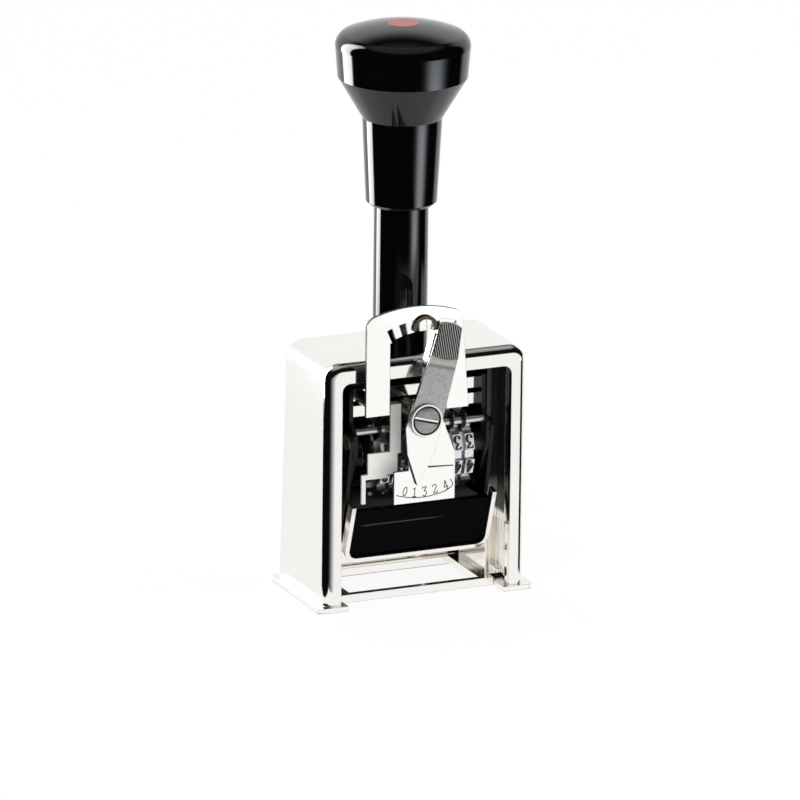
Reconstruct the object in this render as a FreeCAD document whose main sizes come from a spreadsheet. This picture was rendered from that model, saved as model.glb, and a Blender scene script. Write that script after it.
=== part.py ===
"""A hand-operated automatic numbering machine, as a parametric FreeCAD document in millimetres.

+Z is up and -Y is the front, where the setting lever is. The origin is the middle of the machine's
footprint on the table. Pressing the handle brings the works down through the open base, and the
ink pad swings out to the front on its way.
"""
import FreeCAD, Part
import math
import os
import re

import PartDesign
import Sketcher

doc = FreeCAD.newDocument("numbering_machine")
sheet = doc.addObject("Spreadsheet::Sheet", "Sizes")

# Driving sizes: name, value, what it is. Depths are counted from the front rim of the case.
SIZES = [
    ("stroke", 29.5, "travel of the handle, and height of the lowest type above the table"),
    ("type_radius", 13.0, "wheel axis to the face of the type"),
    ("type_relief", 0.5, "height of the type above its land"),
    ("land_height", 0.9, "height of a land above the rim between lands"),
    ("land_width", 4.9, "land, along the rim"),
    ("land_root", 1.0, "how far a land reaches into the rim"),
    ("rim_width", 2.8, "number wheel's rim, along the shaft"),
    ("wheel_gap", 0.2, "free space between a number wheel and its neighbour's ratchet"),
    ("wheel_count", 8, "number wheels on the shaft"),
    ("ratchet_tip_radius", 10.2, "ratchet teeth, at their tips"),
    ("ratchet_root_radius", 8.9, "ratchet teeth, at their roots"),
    ("ratchet_width", 0.9, "ratchet, along the shaft"),
    ("shaft_radius", 3.0, "wheel shaft"),
    ("shaft_clearance", 0.05, "radial clearance of what turns on a shaft"),
    ("type_room", 0.3, "types to the setting bracket in front of them"),
    ("plate_thickness", 1.2, "side plate"),
    ("plate_front", 3.5, "side plates' front edge beside the ink pad's pivot"),
    ("plate_brow", 7.0, "side plates' front edge beside the cross bars"),
    ("brow_drop", 0.6, "lower cross bar's underside to the foot of that edge"),
    ("plate_chin", 9.5, "side plates' front edge at the bottom"),
    ("plate_rear", 27.5, "side plates' rear edge"),
    ("plate_clearance", 2.8, "side plates' lower edge above the type"),
    ("plate_step", 13.8, "height of the side plates' slanting front edge"),
    ("shoe_height", 4.0, "guide shoe"),
    ("shoe_front", 14.0, "guide shoe's front end"),
    ("shoe_length", 13.0, "guide shoe, front to rear"),
    ("shoe_thickness", 1.5, "guide shoe"),
    ("shoe_rise", 1.5, "lower guide shoes above the side plates' lower edge"),
    ("shoe_drop", 3.0, "upper guide shoes below the side plates' upper edge"),
    ("slide_clearance", 0.1, "guide shoe to rail, and handle sleeve to stem"),
    ("bar_clearance", 0.7, "types to the lower cross bar above them"),
    ("bar_height", 3.4, "cross bar"),
    ("bar_gap", 1.5, "between the cross bars"),
    ("bar_front", 10.0, "cross bars' front face"),
    ("bar_depth", 2.0, "cross bar, front to rear"),
    ("bridge_rise", 1.5, "bridge's top above the upper cross bar"),
    ("bridge_thickness", 4.5, "bridge that the plunger rod screws into"),
    ("bridge_front", 13.0, "bridge's front face"),
    ("works_headroom", 3.9, "bridge to the case's ceiling, at rest"),
    ("rail_width", 3.7, "guide rail, from its running face to the case wall"),
    ("rail_front", 9.5, "guide rail's front face"),
    ("rail_rear", 28.3, "guide rail's rear face"),
    ("side_wall", 5.1, "case side wall"),
    ("top_wall", 6.0, "case top wall"),
    ("rear_wall", 1.5, "case rear wall"),
    ("rear_room", 4.7, "types to the case's outer rear face, at the foot"),
    ("rear_taper", 4.1, "how far the rear face leans forward at the top"),
    ("case_edge_radius", 2.65, "rounding of the front rim's outer edge"),
    ("case_corner_radius", 5.0, "rounding of the case's two upper corners"),
    ("mouth_corner_radius", 2.6, "rounding of the mouth's two upper corners"),
    ("foot_thickness", 1.5, "foot plate"),
    ("foot_width", 9.7, "foot plate, across the machine"),
    ("foot_flange", 2.5, "how far the foot plate stands out at the side"),
    ("foot_front", 1.25, "how far the foot plate stands out at the front"),
    ("foot_rear", 1.6, "how far the foot plate stands out at the rear"),
    ("foot_corner_radius", 2.0, "foot plate's outer corners"),
    ("base_clearance", 0.45, "types to the base frame's front bar, over the full stroke"),
    ("base_bar", 2.1, "base frame's front bar, front to rear"),
    ("base_rear_bar", 1.8, "base frame's rear bar, front to rear"),
    ("base_height", 2.5, "base frame's front bar above the table"),
    ("base_fit", 0.1, "base frame to the foot plates"),
    ("base_gap", 0.5, "base frame to the case's rear wall"),
    ("window_margin", 0.2, "side plates' inner faces to the printing window's edge"),
    ("cam_slot_front", 4.8, "pad guide slot in the case's side wall, front end"),
    ("cam_slot_width", 4.5, "pad guide slot, front to rear"),
    ("cam_slot_bottom", 4.0, "pad guide slot's lower end"),
    ("cam_slot_height", 16.0, "pad guide slot"),
    ("cam_slot_depth", 1.5, "pad guide slot, into the wall"),
    ("liner_front", 0.6, "wall liner's front edge"),
    ("liner_width", 2.8, "wall liner, front to rear"),
    ("liner_height", 19.0, "wall liner"),
    ("liner_thickness", 0.4, "wall liner"),
    ("liner_rivet_radius", 0.6, "wall liner's rivet"),
    ("liner_rivet_height", 12.0, "wall liner's rivet above the table"),
    ("stem_setback", 20.66, "handle's axis behind the front rim"),
    ("rod_radius", 4.0, "plunger rod"),
    ("stem_radius", 8.1, "fixed stem on the case"),
    ("stem_bore_radius", 7.0, "stem's spring chamber"),
    ("stem_floor", 4.0, "stem's floor, which guides the rod"),
    ("stem_lap", 12.0, "how far the stem reaches into the handle at rest"),
    ("stem_exposed", 41.6, "stem that shows between case and handle at rest"),
    ("spigot_radius", 5.5, "stem's spigot through the case's top wall"),
    ("nut_flats", 15.0, "stem nut across flats"),
    ("nut_height", 2.6, "stem nut"),
    ("spigot_proud", 0.6, "spigot's end, below the stem nut"),
    ("sleeve_length", 26.5, "handle sleeve"),
    ("sleeve_foot_radius", 10.6, "handle sleeve at its lower end"),
    ("sleeve_top_radius", 11.9, "handle sleeve at its upper end"),
    ("sleeve_chamfer", 0.9, "handle sleeve's lower edge"),
    ("cone_height", 12.4, "knob's lower cone"),
    ("cone_foot_radius", 12.0, "knob's cone at its lower end"),
    ("band_height", 9.3, "knob's grip band"),
    ("band_foot_radius", 19.35, "knob's grip band at its lower end"),
    ("knob_radius", 20.1, "knob at its widest"),
    ("knob_shoulder_radius", 4.0, "rounding of the knob's upper edge"),
    ("shoulder_height", 3.75, "height of the rounding of the knob's upper edge"),
    ("crown_edge_radius", 17.5, "knob's domed top, from the axis to the rounded edge"),
    ("crown_radius", 50, "curve of the knob's domed top"),
    ("crown_rise", 3.05, "rise of the knob's domed top"),
    ("knob_roof", 11.5, "solid top of the knob, above the spring"),
    ("rod_grip", 5.0, "how far the rod screws into the knob's roof"),
    ("inlay_radius", 4.7, "coloured inlay in the knob"),
    ("inlay_depth", 0.8, "coloured inlay in the knob"),
    ("inlay_sink", 0.1, "inlay's edge below the top of the knob"),
    ("spring_mean_radius", 5.75, "return spring, to the middle of its wire"),
    ("spring_wire_radius", 0.7, "return spring's wire"),
    ("spring_turns", 15, "return spring"),
    ("spring_gap", 0.3, "spring end to its seat"),
    ("arch_front", 4.0, "arch plate's front face, in front of the rim"),
    ("arch_thickness", 1.0, "arch plate"),
    ("arch_left", -21.5, "arch plate's left edge"),
    ("arch_right", 11.5, "arch plate's right edge at the bottom"),
    ("arch_right_top", 9.3, "arch plate's right edge at the shoulder"),
    ("arch_leg_left", -13.9, "inner edge of the arch plate's left leg"),
    ("arch_leg_right", 4.4, "inner edge of the arch plate's right leg"),
    ("arch_rise", 34.9, "arch plate's crown above the lever's pivot"),
    ("arch_shoulder_drop", 3.0, "arch plate's shoulders below its crown"),
    ("arch_leg_drop", 2.4, "arch plate's feet above the lever's pivot"),
    ("arch_leg_length", 22.0, "arch plate's legs, up to the notched opening"),
    ("arch_corner_radius", 3.6, "arch plate's shoulders"),
    ("notch_root_radius", 30.8, "lever pivot to the roots of the notches"),
    ("tooth_tip_radius", 27.2, "lever pivot to the tips of the arch plate's teeth"),
    ("tooth_width", 2.2, "tooth of the arch plate"),
    ("notch_pitch", 8.3, "degrees from one setting to the next"),
    ("first_tooth", -18.0, "degrees from upright to the leftmost tooth"),
    ("tooth_count", 4, "teeth between the five settings"),
    ("tooth_root", 1.0, "how far a tooth reaches into the arch plate"),
    ("opening_left", 23.5, "degrees from upright to the notched opening's left end"),
    ("opening_right", 19.0, "degrees from upright to the notched opening's right end"),
    ("pivot_across", -2.7, "lever's pivot, to the right of the machine's middle"),
    ("lever_front", 5.35, "lever's front face, in front of the rim"),
    ("lever_thickness", 1.2, "lever"),
    ("lever_length", 29.2, "lever's pivot to the top of its thumb grip"),
    ("lever_foot_width", 10.6, "lever at its pivot"),
    ("lever_neck_width", 9.0, "lever below its thumb grip"),
    ("lever_top_width", 7.5, "lever at its top"),
    ("lever_neck", 19.5, "lever's pivot to the lower edge of its thumb grip"),
    ("lever_sway", 0.6, "lever's neck, to the right of its middle line"),
    ("lever_lean", 15.0, "degrees that the thumb arm leans to the right at rest"),
    ("lever_crown_radius", 9.0, "curve of the lever's upper edge"),
    ("lip_foot", 12.5, "lever's pivot to the lower end of the folded edge"),
    ("lip_slope", 4.5, "height over which the folded edge reaches its full depth"),
    ("lip_top", 26.3, "lever's pivot to the upper end of the folded edge"),
    ("lip_depth", 2.4, "folded edge, behind the lever"),
    ("lip_thickness", 1.0, "folded edge"),
    ("lip_left", -4.25, "folded edge's outer face, to the right of the lever's middle line"),
    ("grip_rise", 0.25, "serrated thumb grip, in front of the lever"),
    ("grip_foot_radius", 14.0, "curve of the thumb grip's lower edge"),
    ("pointer_thickness", 0.9, "pointer blade"),
    ("pointer_half_width", 5.7, "pointer blade beside the pivot"),
    ("pointer_cheek", 3.0, "pointer blade's widest place below the pivot"),
    ("pointer_head", 4.0, "pointer blade's square upper end, above and beside the pivot"),
    ("pointer_waist", 4.3, "pointer blade's half width where its taper steepens"),
    ("pointer_waist_drop", 10.8, "lever's pivot to where the taper steepens"),
    ("pointer_length", 20.5, "lever's pivot to the pointer's tip"),
    ("pointer_lean", 5.6, "degrees that the pointer leans to the left at rest"),
    ("hook_radius", 4.0, "lever's detent spring, outside of its bend"),
    ("hook_width", 1.15, "lever's detent spring"),
    ("hook_thickness", 0.7, "lever's detent spring, front to rear"),
    ("hook_leg", 0.4, "detent spring's free leg"),
    ("hook_across", -0.2, "detent spring's bend, to the right of the pivot"),
    ("hook_rise", 28.0, "detent spring's bend, above the pivot"),
    ("screw_head_radius", 4.25, "pivot screw's head"),
    ("screw_slot_width", 0.9, "pivot screw's slot"),
    ("screw_slot_depth", 0.6, "pivot screw's slot"),
    ("screw_radius", 2.0, "pivot screw's shank"),
    ("screw_length", 11.0, "pivot screw's shank"),
    ("lever_projection", 6.7, "pivot screw's head, in front of the rim"),
    ("collar_radius", 5.0, "bright collar round the pivot screw's head"),
    ("collar_width", 0.55, "bright collar"),
    ("collar_height", 0.8, "bright collar"),
    ("scale_front", 3.0, "scale plate's front face, in front of the rim"),
    ("scale_thickness", 1.0, "scale plate"),
    ("scale_left", -11.75, "scale plate's left edge"),
    ("scale_right", 7.85, "scale plate's right edge"),
    ("scale_foot", 2.4, "scale plate's lower edge above the type"),
    ("scale_left_height", 10.0, "scale plate's height at the left"),
    ("scale_right_height", 14.1, "scale plate's height at the right"),
    ("scale_ear", 4.4, "scale plate round the lever's pivot"),
    ("standoff_radius", 2.0, "arch plate's standoffs"),
    ("pivot_post_radius", 2.9, "post behind the lever's pivot"),
    ("left_standoff", -17.7, "left standoff, to the right of the middle"),
    ("right_standoff", 8.4, "right standoff"),
    ("bracket_front", 2.3, "setting bracket's front face, behind the rim"),
    ("bracket_thickness", 0.8, "setting bracket"),
    ("bracket_left", -17.9, "left edge of the setting bracket's block"),
    ("finger_left", -19.9, "left edge of the setting bracket's finger"),
    ("finger_tie", 1.5, "height of the strip that joins finger and block"),
    ("bracket_finger", 1.3, "width of the setting bracket's finger"),
    ("bracket_finger_foot", 1.9, "finger's lower end above the type"),
    ("bracket_foot", 9.3, "setting bracket's block above the type"),
    ("bracket_step", 1.0, "step in the block's lower edge"),
    ("bracket_step_left", -11.5, "where the block's lower edge steps up"),
    ("bracket_right", -8.4, "block's right edge"),
    ("bracket_height", 7.9, "block's height"),
    ("strap_left", -10.7, "setting bracket's upright strip, left edge"),
    ("strap_right", -7.4, "upright strip's right edge"),
    ("strap_foot", 16.5, "upright strip's lower end above the type"),
    ("strap_rise", 5.0, "upright strip's upper end above the lower cross bar's underside"),
    ("pad_gap", 0.3, "types to the ink pad at rest"),
    ("pad_stand_in", 0.2, "ink pad above its tray's edge"),
    ("pad_pivot_rise", 20.8, "pad carrier's pivot above the ink pad"),
    ("pad_pivot_setback", 6.0, "pad carrier's pivot behind the front rim"),
    ("tray_overhang", 0.05, "ink tray's ends outside the side plates"),
    ("tray_front", 3.0, "ink tray's upper front edge behind the rim"),
    ("tray_lean", 5.0, "how far the tray's front face leans back"),
    ("tray_height", 15.0, "ink tray's front face"),
    ("tray_belly", 19.0, "ink tray's lower rear corner behind the rim"),
    ("tray_belly_rise", 2.5, "ink tray's lower rear corner above its lower front edge"),
    ("tray_rear", 27.5, "ink tray's rear edge behind the rim"),
    ("tray_rear_height", 2.7, "ink tray's rear edge"),
    ("tray_wall", 1.2, "ink tray"),
    ("well_lip", 2.4, "tray's front edge to its well"),
    ("well_toe", 4.4, "tray's front edge to the front of the well's floor"),
    ("well_heel", 0.5, "tray's belly to the rear of the well's floor"),
    ("well_floor", 6.5, "well's floor above the tray's lower front edge"),
    ("well_shelf", 1.9, "tray's rear edge to the well's slanting rear wall"),
    ("well_step", 2.0, "top of the well's slanting rear wall below the tray's edge"),
    ("pad_fit", 0.3, "ink pad to the tray's walls"),
    ("carrier_fit", 0.05, "pad clip and carrier arms to the tray's ends"),
    ("clip_thickness", 1.3, "pad clip's strip, seen from the front"),
    ("clip_depth", 3.0, "pad clip's strip, front to rear"),
    ("clip_proud", 1.4, "how far the clip stands in front of the tray"),
    ("clip_tip", 2.4, "how far the clip's ends stand above the tray"),
    ("clip_drop", 0.3, "pad clip's lower strip below the tray"),
    ("clip_corner_radius", 4.2, "pad clip's two lower corners, outside"),
    ("clip_inner_radius", 2.9, "pad clip's two lower corners, inside"),
    ("tray_corner_radius", 3.2, "ink tray's two lower corners"),
    ("arm_play", 0.1, "pivot pin's head to the guide rail"),
    ("arm_boss_radius", 3.0, "pad carrier's arm round its pivot"),
    ("arm_neck_half_width", 2.6, "pad carrier's arm below its boss"),
    ("arm_neck_drop", 1.5, "pad carrier's pivot to the neck of the arm"),
    ("arm_shoulder", 3.8, "tray's front edge to the pad carrier's arm"),
    ("arm_shoulder_rise", 1.0, "bend of the pad carrier's arm above the tray's edge"),
    ("arm_foot", 6.6, "tray's front edge to the foot of the pad carrier's arm"),
    ("arm_foot_rise", 6.0, "foot of the pad carrier's arm above the tray's lower front edge"),
    ("arm_foot_width", 6.0, "pad carrier's arm beside the tray"),
    ("pivot_pin_radius", 1.5, "pad carrier's pivot pin"),
    ("pivot_pin_head_radius", 2.4, "pad carrier's pivot pin, at its head"),
    ("pivot_pin_head", 0.25, "thickness of the pivot pin's head"),
    ("pawl_pin_gap", 0.4, "types to the drive pawls' pin"),
    ("pawl_pin_radius", 1.2, "drive pawls' pin"),
    ("pawl_rest", 45.0, "degrees from the rear to the pawl pin at rest"),
    ("pawl_thickness", 0.7, "pawl"),
    ("pawl_tip_angle", 7.0, "pawl's tip, in degrees about the wheel axis"),
    ("eye_wall", 1.0, "pawl or yoke arm round its pin"),
    ("pawl_clearance", 0.35, "pawl's tip to the ratchet's teeth"),
    ("yoke_thickness", 1.0, "drive yoke's side arm"),
    ("yoke_boss_radius", 5.0, "drive yoke round the wheel shaft"),
    ("yoke_root_half_width", 4.0, "yoke's side arm at the wheel shaft"),
    ("yoke_tip_half_width", 1.8, "yoke's side arm at the pawls' pin"),
    ("spacer_wall", 1.5, "spacer round the wheel shaft"),
    ("spacer_left", 1.65, "spacer at the shaft's left end"),
    ("spacer_middle", 1.7, "spacer between the repeat ratchet and the yoke"),
    ("spacer_right", 2.15, "spacer at the shaft's right end"),
    ("side_play", 0.15, "sideways play of what turns on the wheel shaft"),
    ("detent_angle", 135.5, "degrees from the rear to the detent pawls' shaft"),
    ("detent_gap", 0.5, "types to the detent pawls' shaft"),
    ("detent_shaft_radius", 1.1, "detent pawls' shaft"),
    ("repeat_ratchet_radius", 9.0, "ratchet of the repeat counter"),
    ("repeat_tooth_height", 1.1, "tooth of the repeat counter's ratchet"),
    ("repeat_teeth", 15, "teeth of the repeat counter's ratchet"),
    ("repeat_ratchet_width", 2.0, "ratchet of the repeat counter"),
    ("overcut", 1.0, "how far a cutting tool reaches past what it cuts"),
]

# Sizes that follow from the driving ones.
DERIVED = [
    ("wheel_pitch", "rim_width + ratchet_width + wheel_gap", "from one number wheel to the next"),
    ("plate_inner", "(spacer_left + spacer_middle + spacer_right + repeat_ratchet_width"
     " + wheel_count * wheel_pitch + 2 * yoke_thickness + 6 * side_play) / 2",
     "half the space between the side plates"),
    ("wheels_right", "plate_inner - spacer_right - 2 * side_play - yoke_thickness",
     "right face of the rightmost wheel"),
    ("repeat_ratchet_left", "spacer_left + side_play - plate_inner",
     "left face of the repeat counter's ratchet"),
    ("detent_reach", "type_radius + detent_gap + detent_shaft_radius",
     "wheel axis to the detent pawls' shaft"),
    ("pawl_pin_reach", "type_radius + pawl_pin_gap + pawl_pin_radius",
     "wheel axis to the drive pawls' pin"),
    ("axle_setback", "bracket_front + bracket_thickness + type_room + type_radius",
     "wheel axis behind the front rim"),
    ("rim_y", "-(stem_setback + knob_radius - lever_projection) / 2", "front rim's plane"),
    ("axle_y", "rim_y + axle_setback", "wheel axis, front to rear"),
    ("axle_z", "stroke + type_radius", "wheel axis above the table"),
    ("lower_bar_z", "axle_z + type_radius + bar_clearance", "lower cross bar's underside"),
    ("upper_bar_z", "lower_bar_z + bar_height + bar_gap", "upper cross bar's underside"),
    ("works_top", "upper_bar_z + bar_height + bridge_rise", "bridge's top"),
    ("ceiling", "works_top + works_headroom", "underside of the case's top wall"),
    ("case_top", "ceiling + top_wall", "top of the case"),
    ("plate_outer", "plate_inner + plate_thickness", "side plates' outer faces"),
    ("rail_inner", "plate_outer + shoe_thickness + slide_clearance", "rails' running faces"),
    ("mouth_half_width", "rail_inner + rail_width", "half the case's mouth"),
    ("case_half_width", "mouth_half_width + side_wall", "half the case"),
    ("case_depth", "axle_setback + type_radius + rear_room", "case's depth at the foot"),
    ("stem_y", "rim_y + stem_setback", "handle's axis, front to rear"),
    ("sleeve_foot", "case_top + stem_exposed", "handle sleeve's lower end at rest"),
    ("stem_top", "sleeve_foot + stem_lap", "upper end of the fixed stem"),
    ("knob_foot", "sleeve_foot + sleeve_length", "knob's lower end at rest"),
    ("knob_top", "knob_foot + cone_height + band_height + shoulder_height + crown_rise",
     "highest point of the knob"),
    ("handle_bore_radius", "stem_radius + slide_clearance", "bore of sleeve and knob"),
    ("spring_seat", "case_top + stem_floor", "lower end of the spring chamber"),
    ("spring_roof", "knob_top - knob_roof", "upper end of the spring chamber"),
    ("pivot_z", "lower_bar_z + bar_height / 2 - 0.1", "lever's pivot above the table"),
    ("pad_top", "stroke - pad_gap", "ink pad's surface at rest"),
    ("tray_top", "pad_top - pad_stand_in", "ink tray's edge at rest"),
    ("pad_pivot_y", "rim_y + pad_pivot_setback", "pad carrier's pivot, front to rear"),
    ("pad_pivot_z", "pad_top + pad_pivot_rise", "pad carrier's pivot at rest"),
    ("tray_floor", "tray_top - tray_height", "tray's lower front edge at rest"),
    ("window_half_width", "plate_inner + window_margin", "half the printing window"),
    ("base_front", "axle_setback - sqrt(2 * type_radius * base_height - base_height^2)"
     " - base_clearance - base_bar", "base frame's front face behind the rim"),
    ("tray_half_width", "plate_outer + tray_overhang", "half the ink tray"),
    ("clip_inner", "tray_half_width + carrier_fit", "half the space inside the pad clip"),
    ("arm_thickness", "rail_inner - arm_play - pivot_pin_head - clip_inner", "carrier's arm"),
    ("clip_outer", "clip_inner + clip_thickness", "half the pad clip"),
    ("arch_rear", "rim_y - arch_front + arch_thickness", "arch plate's rear face"),
    ("lever_rear", "rim_y - lever_front + lever_thickness", "lever's rear face"),
    ("yoke_left", "wheels_right - wheel_count * wheel_pitch - side_play - yoke_thickness",
     "left arm of the drive yoke"),
    ("yoke_right", "wheels_right + side_play", "right arm of the drive yoke"),
]

NAMES = {row[0] for row in SIZES + DERIVED}


def formula(text):
    """Write the sizes in text the way an expression outside the sheet names them."""
    return re.sub(r"[a-z][a-z_]+", lambda m: "Sizes." + m[0] if m[0] in NAMES else m[0], text)


def value(text):
    """Work out a formula on the sheet's sizes."""
    return float(sheet.evalExpression(formula(text)))


def bind(thing, setting, text):
    """Tie one property of an object to a formula on the sheet's sizes."""
    thing.setExpression(setting, formula(text))


for row, (alias, amount, note) in enumerate(SIZES + DERIVED, start=1):
    content = str(amount) if isinstance(amount, (int, float)) else "=" + amount
    sheet.set(f"A{row}", note)
    sheet.set(f"B{row}", content)
    sheet.setAlias(f"B{row}", alias)
doc.recompute()

pieces = []


def keep(thing, label):
    """Name a finished piece and put it on the list of pieces to write."""
    thing.Label = label
    pieces.append(thing)
    return thing


def place(thing, across="0", deep="0", high="0"):
    """Tie an object's position to formulas."""
    bind(thing, "Placement.Base.x", across)
    bind(thing, "Placement.Base.y", deep)
    bind(thing, "Placement.Base.z", high)


def box(name, left, right, front, rear, bottom, top):
    """A block between six formulas."""
    block = doc.addObject("Part::Box", name)
    bind(block, "Length", f"({right}) - ({left})")
    bind(block, "Width", f"({rear}) - ({front})")
    bind(block, "Height", f"({top}) - ({bottom})")
    place(block, left, front, bottom)
    return block


def rod(name, axis, radius, across, deep, high, length):
    """A cylinder that runs from a point along +X, +Y or +Z."""
    turns = {"x": FreeCAD.Rotation(FreeCAD.Vector(0, 1, 0), 90),
             "y": FreeCAD.Rotation(FreeCAD.Vector(1, 0, 0), -90),
             "z": FreeCAD.Rotation()}
    cylinder = doc.addObject("Part::Cylinder", name)
    cylinder.Placement = FreeCAD.Placement(FreeCAD.Vector(), turns[axis])
    bind(cylinder, "Radius", radius)
    bind(cylinder, "Height", length)
    place(cylinder, across, deep, high)
    return cylinder


def cut(name, base, tool):
    """One object minus another."""
    result = doc.addObject("Part::Cut", name)
    result.Base = base
    result.Tool = tool
    return result


def fuse(name, *shapes):
    """Several objects joined into one solid."""
    result = doc.addObject("Part::MultiFuse", name)
    result.Shapes = list(shapes)
    result.Refine = True
    return result


def group(name, *solids):
    """Like pieces that share one node, each a solid of its own."""
    result = doc.addObject("Part::Compound", name)
    result.Links = list(solids)
    return result


def sketch_on(body, plane, offset="0"):
    """An empty sketch on one of a body's own planes, moved along the plane's normal."""
    sketch = body.newObject("Sketcher::SketchObject", body.Name + "_sketch")
    support = [item for item in body.Origin.OriginFeatures if item.Role == plane + "_Plane"]
    sketch.AttachmentSupport = [(support[0], "")]
    sketch.MapMode = "FlatFace"
    bind(sketch, "AttachmentOffset.Base.z", offset)
    return sketch


def add_outline(sketch, corners, bulges=None):
    """A closed outline through corners given as pairs of formulas.

    bulges gives the radius of each side that is an outward arc, by the number of its first corner.
    """
    bulges = bulges or {}
    first = sketch.GeometryCount
    points = [FreeCAD.Vector(value(across), value(up), 0) for across, up in corners]
    following = points[1:] + points[:1]
    area = sum(a.x * b.y - b.x * a.y for a, b in zip(points, following))
    starts = []
    for number, (point, after) in enumerate(zip(points, following)):
        starts.append(1)
        if number not in bulges:
            sketch.addGeometry(Part.LineSegment(point, after), False)
            continue
        half = (after - point) / 2
        radius = max(value(bulges[number]), half.Length)
        inward = FreeCAD.Vector(-half.y, half.x).normalize() * math.copysign(1, area)
        centre = point + half + inward * math.sqrt(radius**2 - half.Length**2)
        ends = [math.atan2(end.y - centre.y, end.x - centre.x) for end in (point, after)]
        if area < 0:
            ends.reverse()
            starts[-1] = 2
        if ends[1] < ends[0]:
            ends[1] += 2 * math.pi
        circle = Part.Circle(centre, FreeCAD.Vector(0, 0, 1), radius)
        sketch.addGeometry(Part.ArcOfCircle(circle, *ends), False)
    rules = []
    for number, (point, start) in enumerate(zip(points, starts)):
        after = (number + 1) % len(points)
        rules.append(Sketcher.Constraint("Coincident", first + number, 3 - start,
                                         first + after, starts[after]))
        rules.append(Sketcher.Constraint("DistanceX", -1, 1, first + number, start, point.x))
        rules.append(Sketcher.Constraint("DistanceY", -1, 1, first + number, start, point.y))
    begin = sketch.ConstraintCount
    sketch.addConstraint(rules)
    for number, (across, up) in enumerate(corners):
        bind(sketch, f"Constraints[{begin + 3 * number + 1}]", across)
        bind(sketch, f"Constraints[{begin + 3 * number + 2}]", up)
    for number, radius in bulges.items():
        rule = sketch.addConstraint(Sketcher.Constraint("Radius", first + number, value(radius)))
        bind(sketch, f"Constraints[{rule}]", radius)


def add_circle(sketch, across, up, radius):
    """A circle whose centre and radius are formulas."""
    centre = FreeCAD.Vector(value(across), value(up), 0)
    up_axis = FreeCAD.Vector(0, 0, 1)
    circle = sketch.addGeometry(Part.Circle(centre, up_axis, value(radius)), False)
    begin = sketch.ConstraintCount
    sketch.addConstraint([Sketcher.Constraint("DistanceX", -1, 1, circle, 3, centre.x),
                          Sketcher.Constraint("DistanceY", -1, 1, circle, 3, centre.y),
                          Sketcher.Constraint("Radius", circle, value(radius))])
    bind(sketch, f"Constraints[{begin}]", across)
    bind(sketch, f"Constraints[{begin + 1}]", up)
    bind(sketch, f"Constraints[{begin + 2}]", radius)


def extrude(body, kind, sketch, length, symmetric=False):
    """Pad or pocket a sketch, and make the result the body's tip."""
    feature = body.newObject("PartDesign::" + kind, body.Name + "_" + kind.lower())
    feature.Profile = sketch
    bind(feature, "Length", length)
    if symmetric:
        feature.SideType = "Symmetric"
    body.Tip = feature
    return feature


def plate(name, plane, corners, start, thickness, holes=(), bulges=None):
    """A flat piece: an outline on a plane, padded along the plane's normal, with round holes.

    An XZ plate grows forward from its rear face, a YZ plate to the right, an XY plate upward.
    """
    body = doc.addObject("PartDesign::Body", name)
    sketch = sketch_on(body, plane, f"-({start})" if plane == "XZ" else start)
    add_outline(sketch, corners, bulges)
    for across, up, radius in holes:
        add_circle(sketch, across, up, radius)
    extrude(body, "Pad", sketch, thickness)
    return body


def turned(name, corners, bulges=None):
    """A piece turned about the handle's axis, from an outline of radius and height."""
    body = doc.addObject("PartDesign::Body", name)
    sketch = sketch_on(body, "XZ", "-stem_y")
    add_outline(sketch, corners, bulges)
    turn = body.newObject("PartDesign::Revolution", name + "_turn")
    turn.Profile = sketch
    turn.ReferenceAxis = (sketch, ["V_Axis"])
    turn.Angle = 360
    body.Tip = turn
    return body


def round_edges(body, radius, wanted):
    """Round the straight edges of a body whose two end points both pass the test."""
    doc.recompute()
    base = body.Tip
    names = []
    for number, edge in enumerate(base.Shape.Edges, start=1):
        straight = edge.Curve.TypeId == "Part::GeomLine"
        if straight and wanted(*[vertex.Point for vertex in edge.Vertexes]):
            names.append(f"Edge{number}")
    fillet = body.newObject("PartDesign::Fillet", body.Name + "_fillet")
    fillet.Base = (base, names)
    bind(fillet, "Radius", radius)
    body.Tip = fillet
    return fillet


def near(first, second):
    """Whether two lengths are the same."""
    return abs(first - second) < 0.001


def behind(depth):
    """A depth behind the front rim, as a formula in the machine's frame."""
    return f"rim_y + {depth}"


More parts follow.
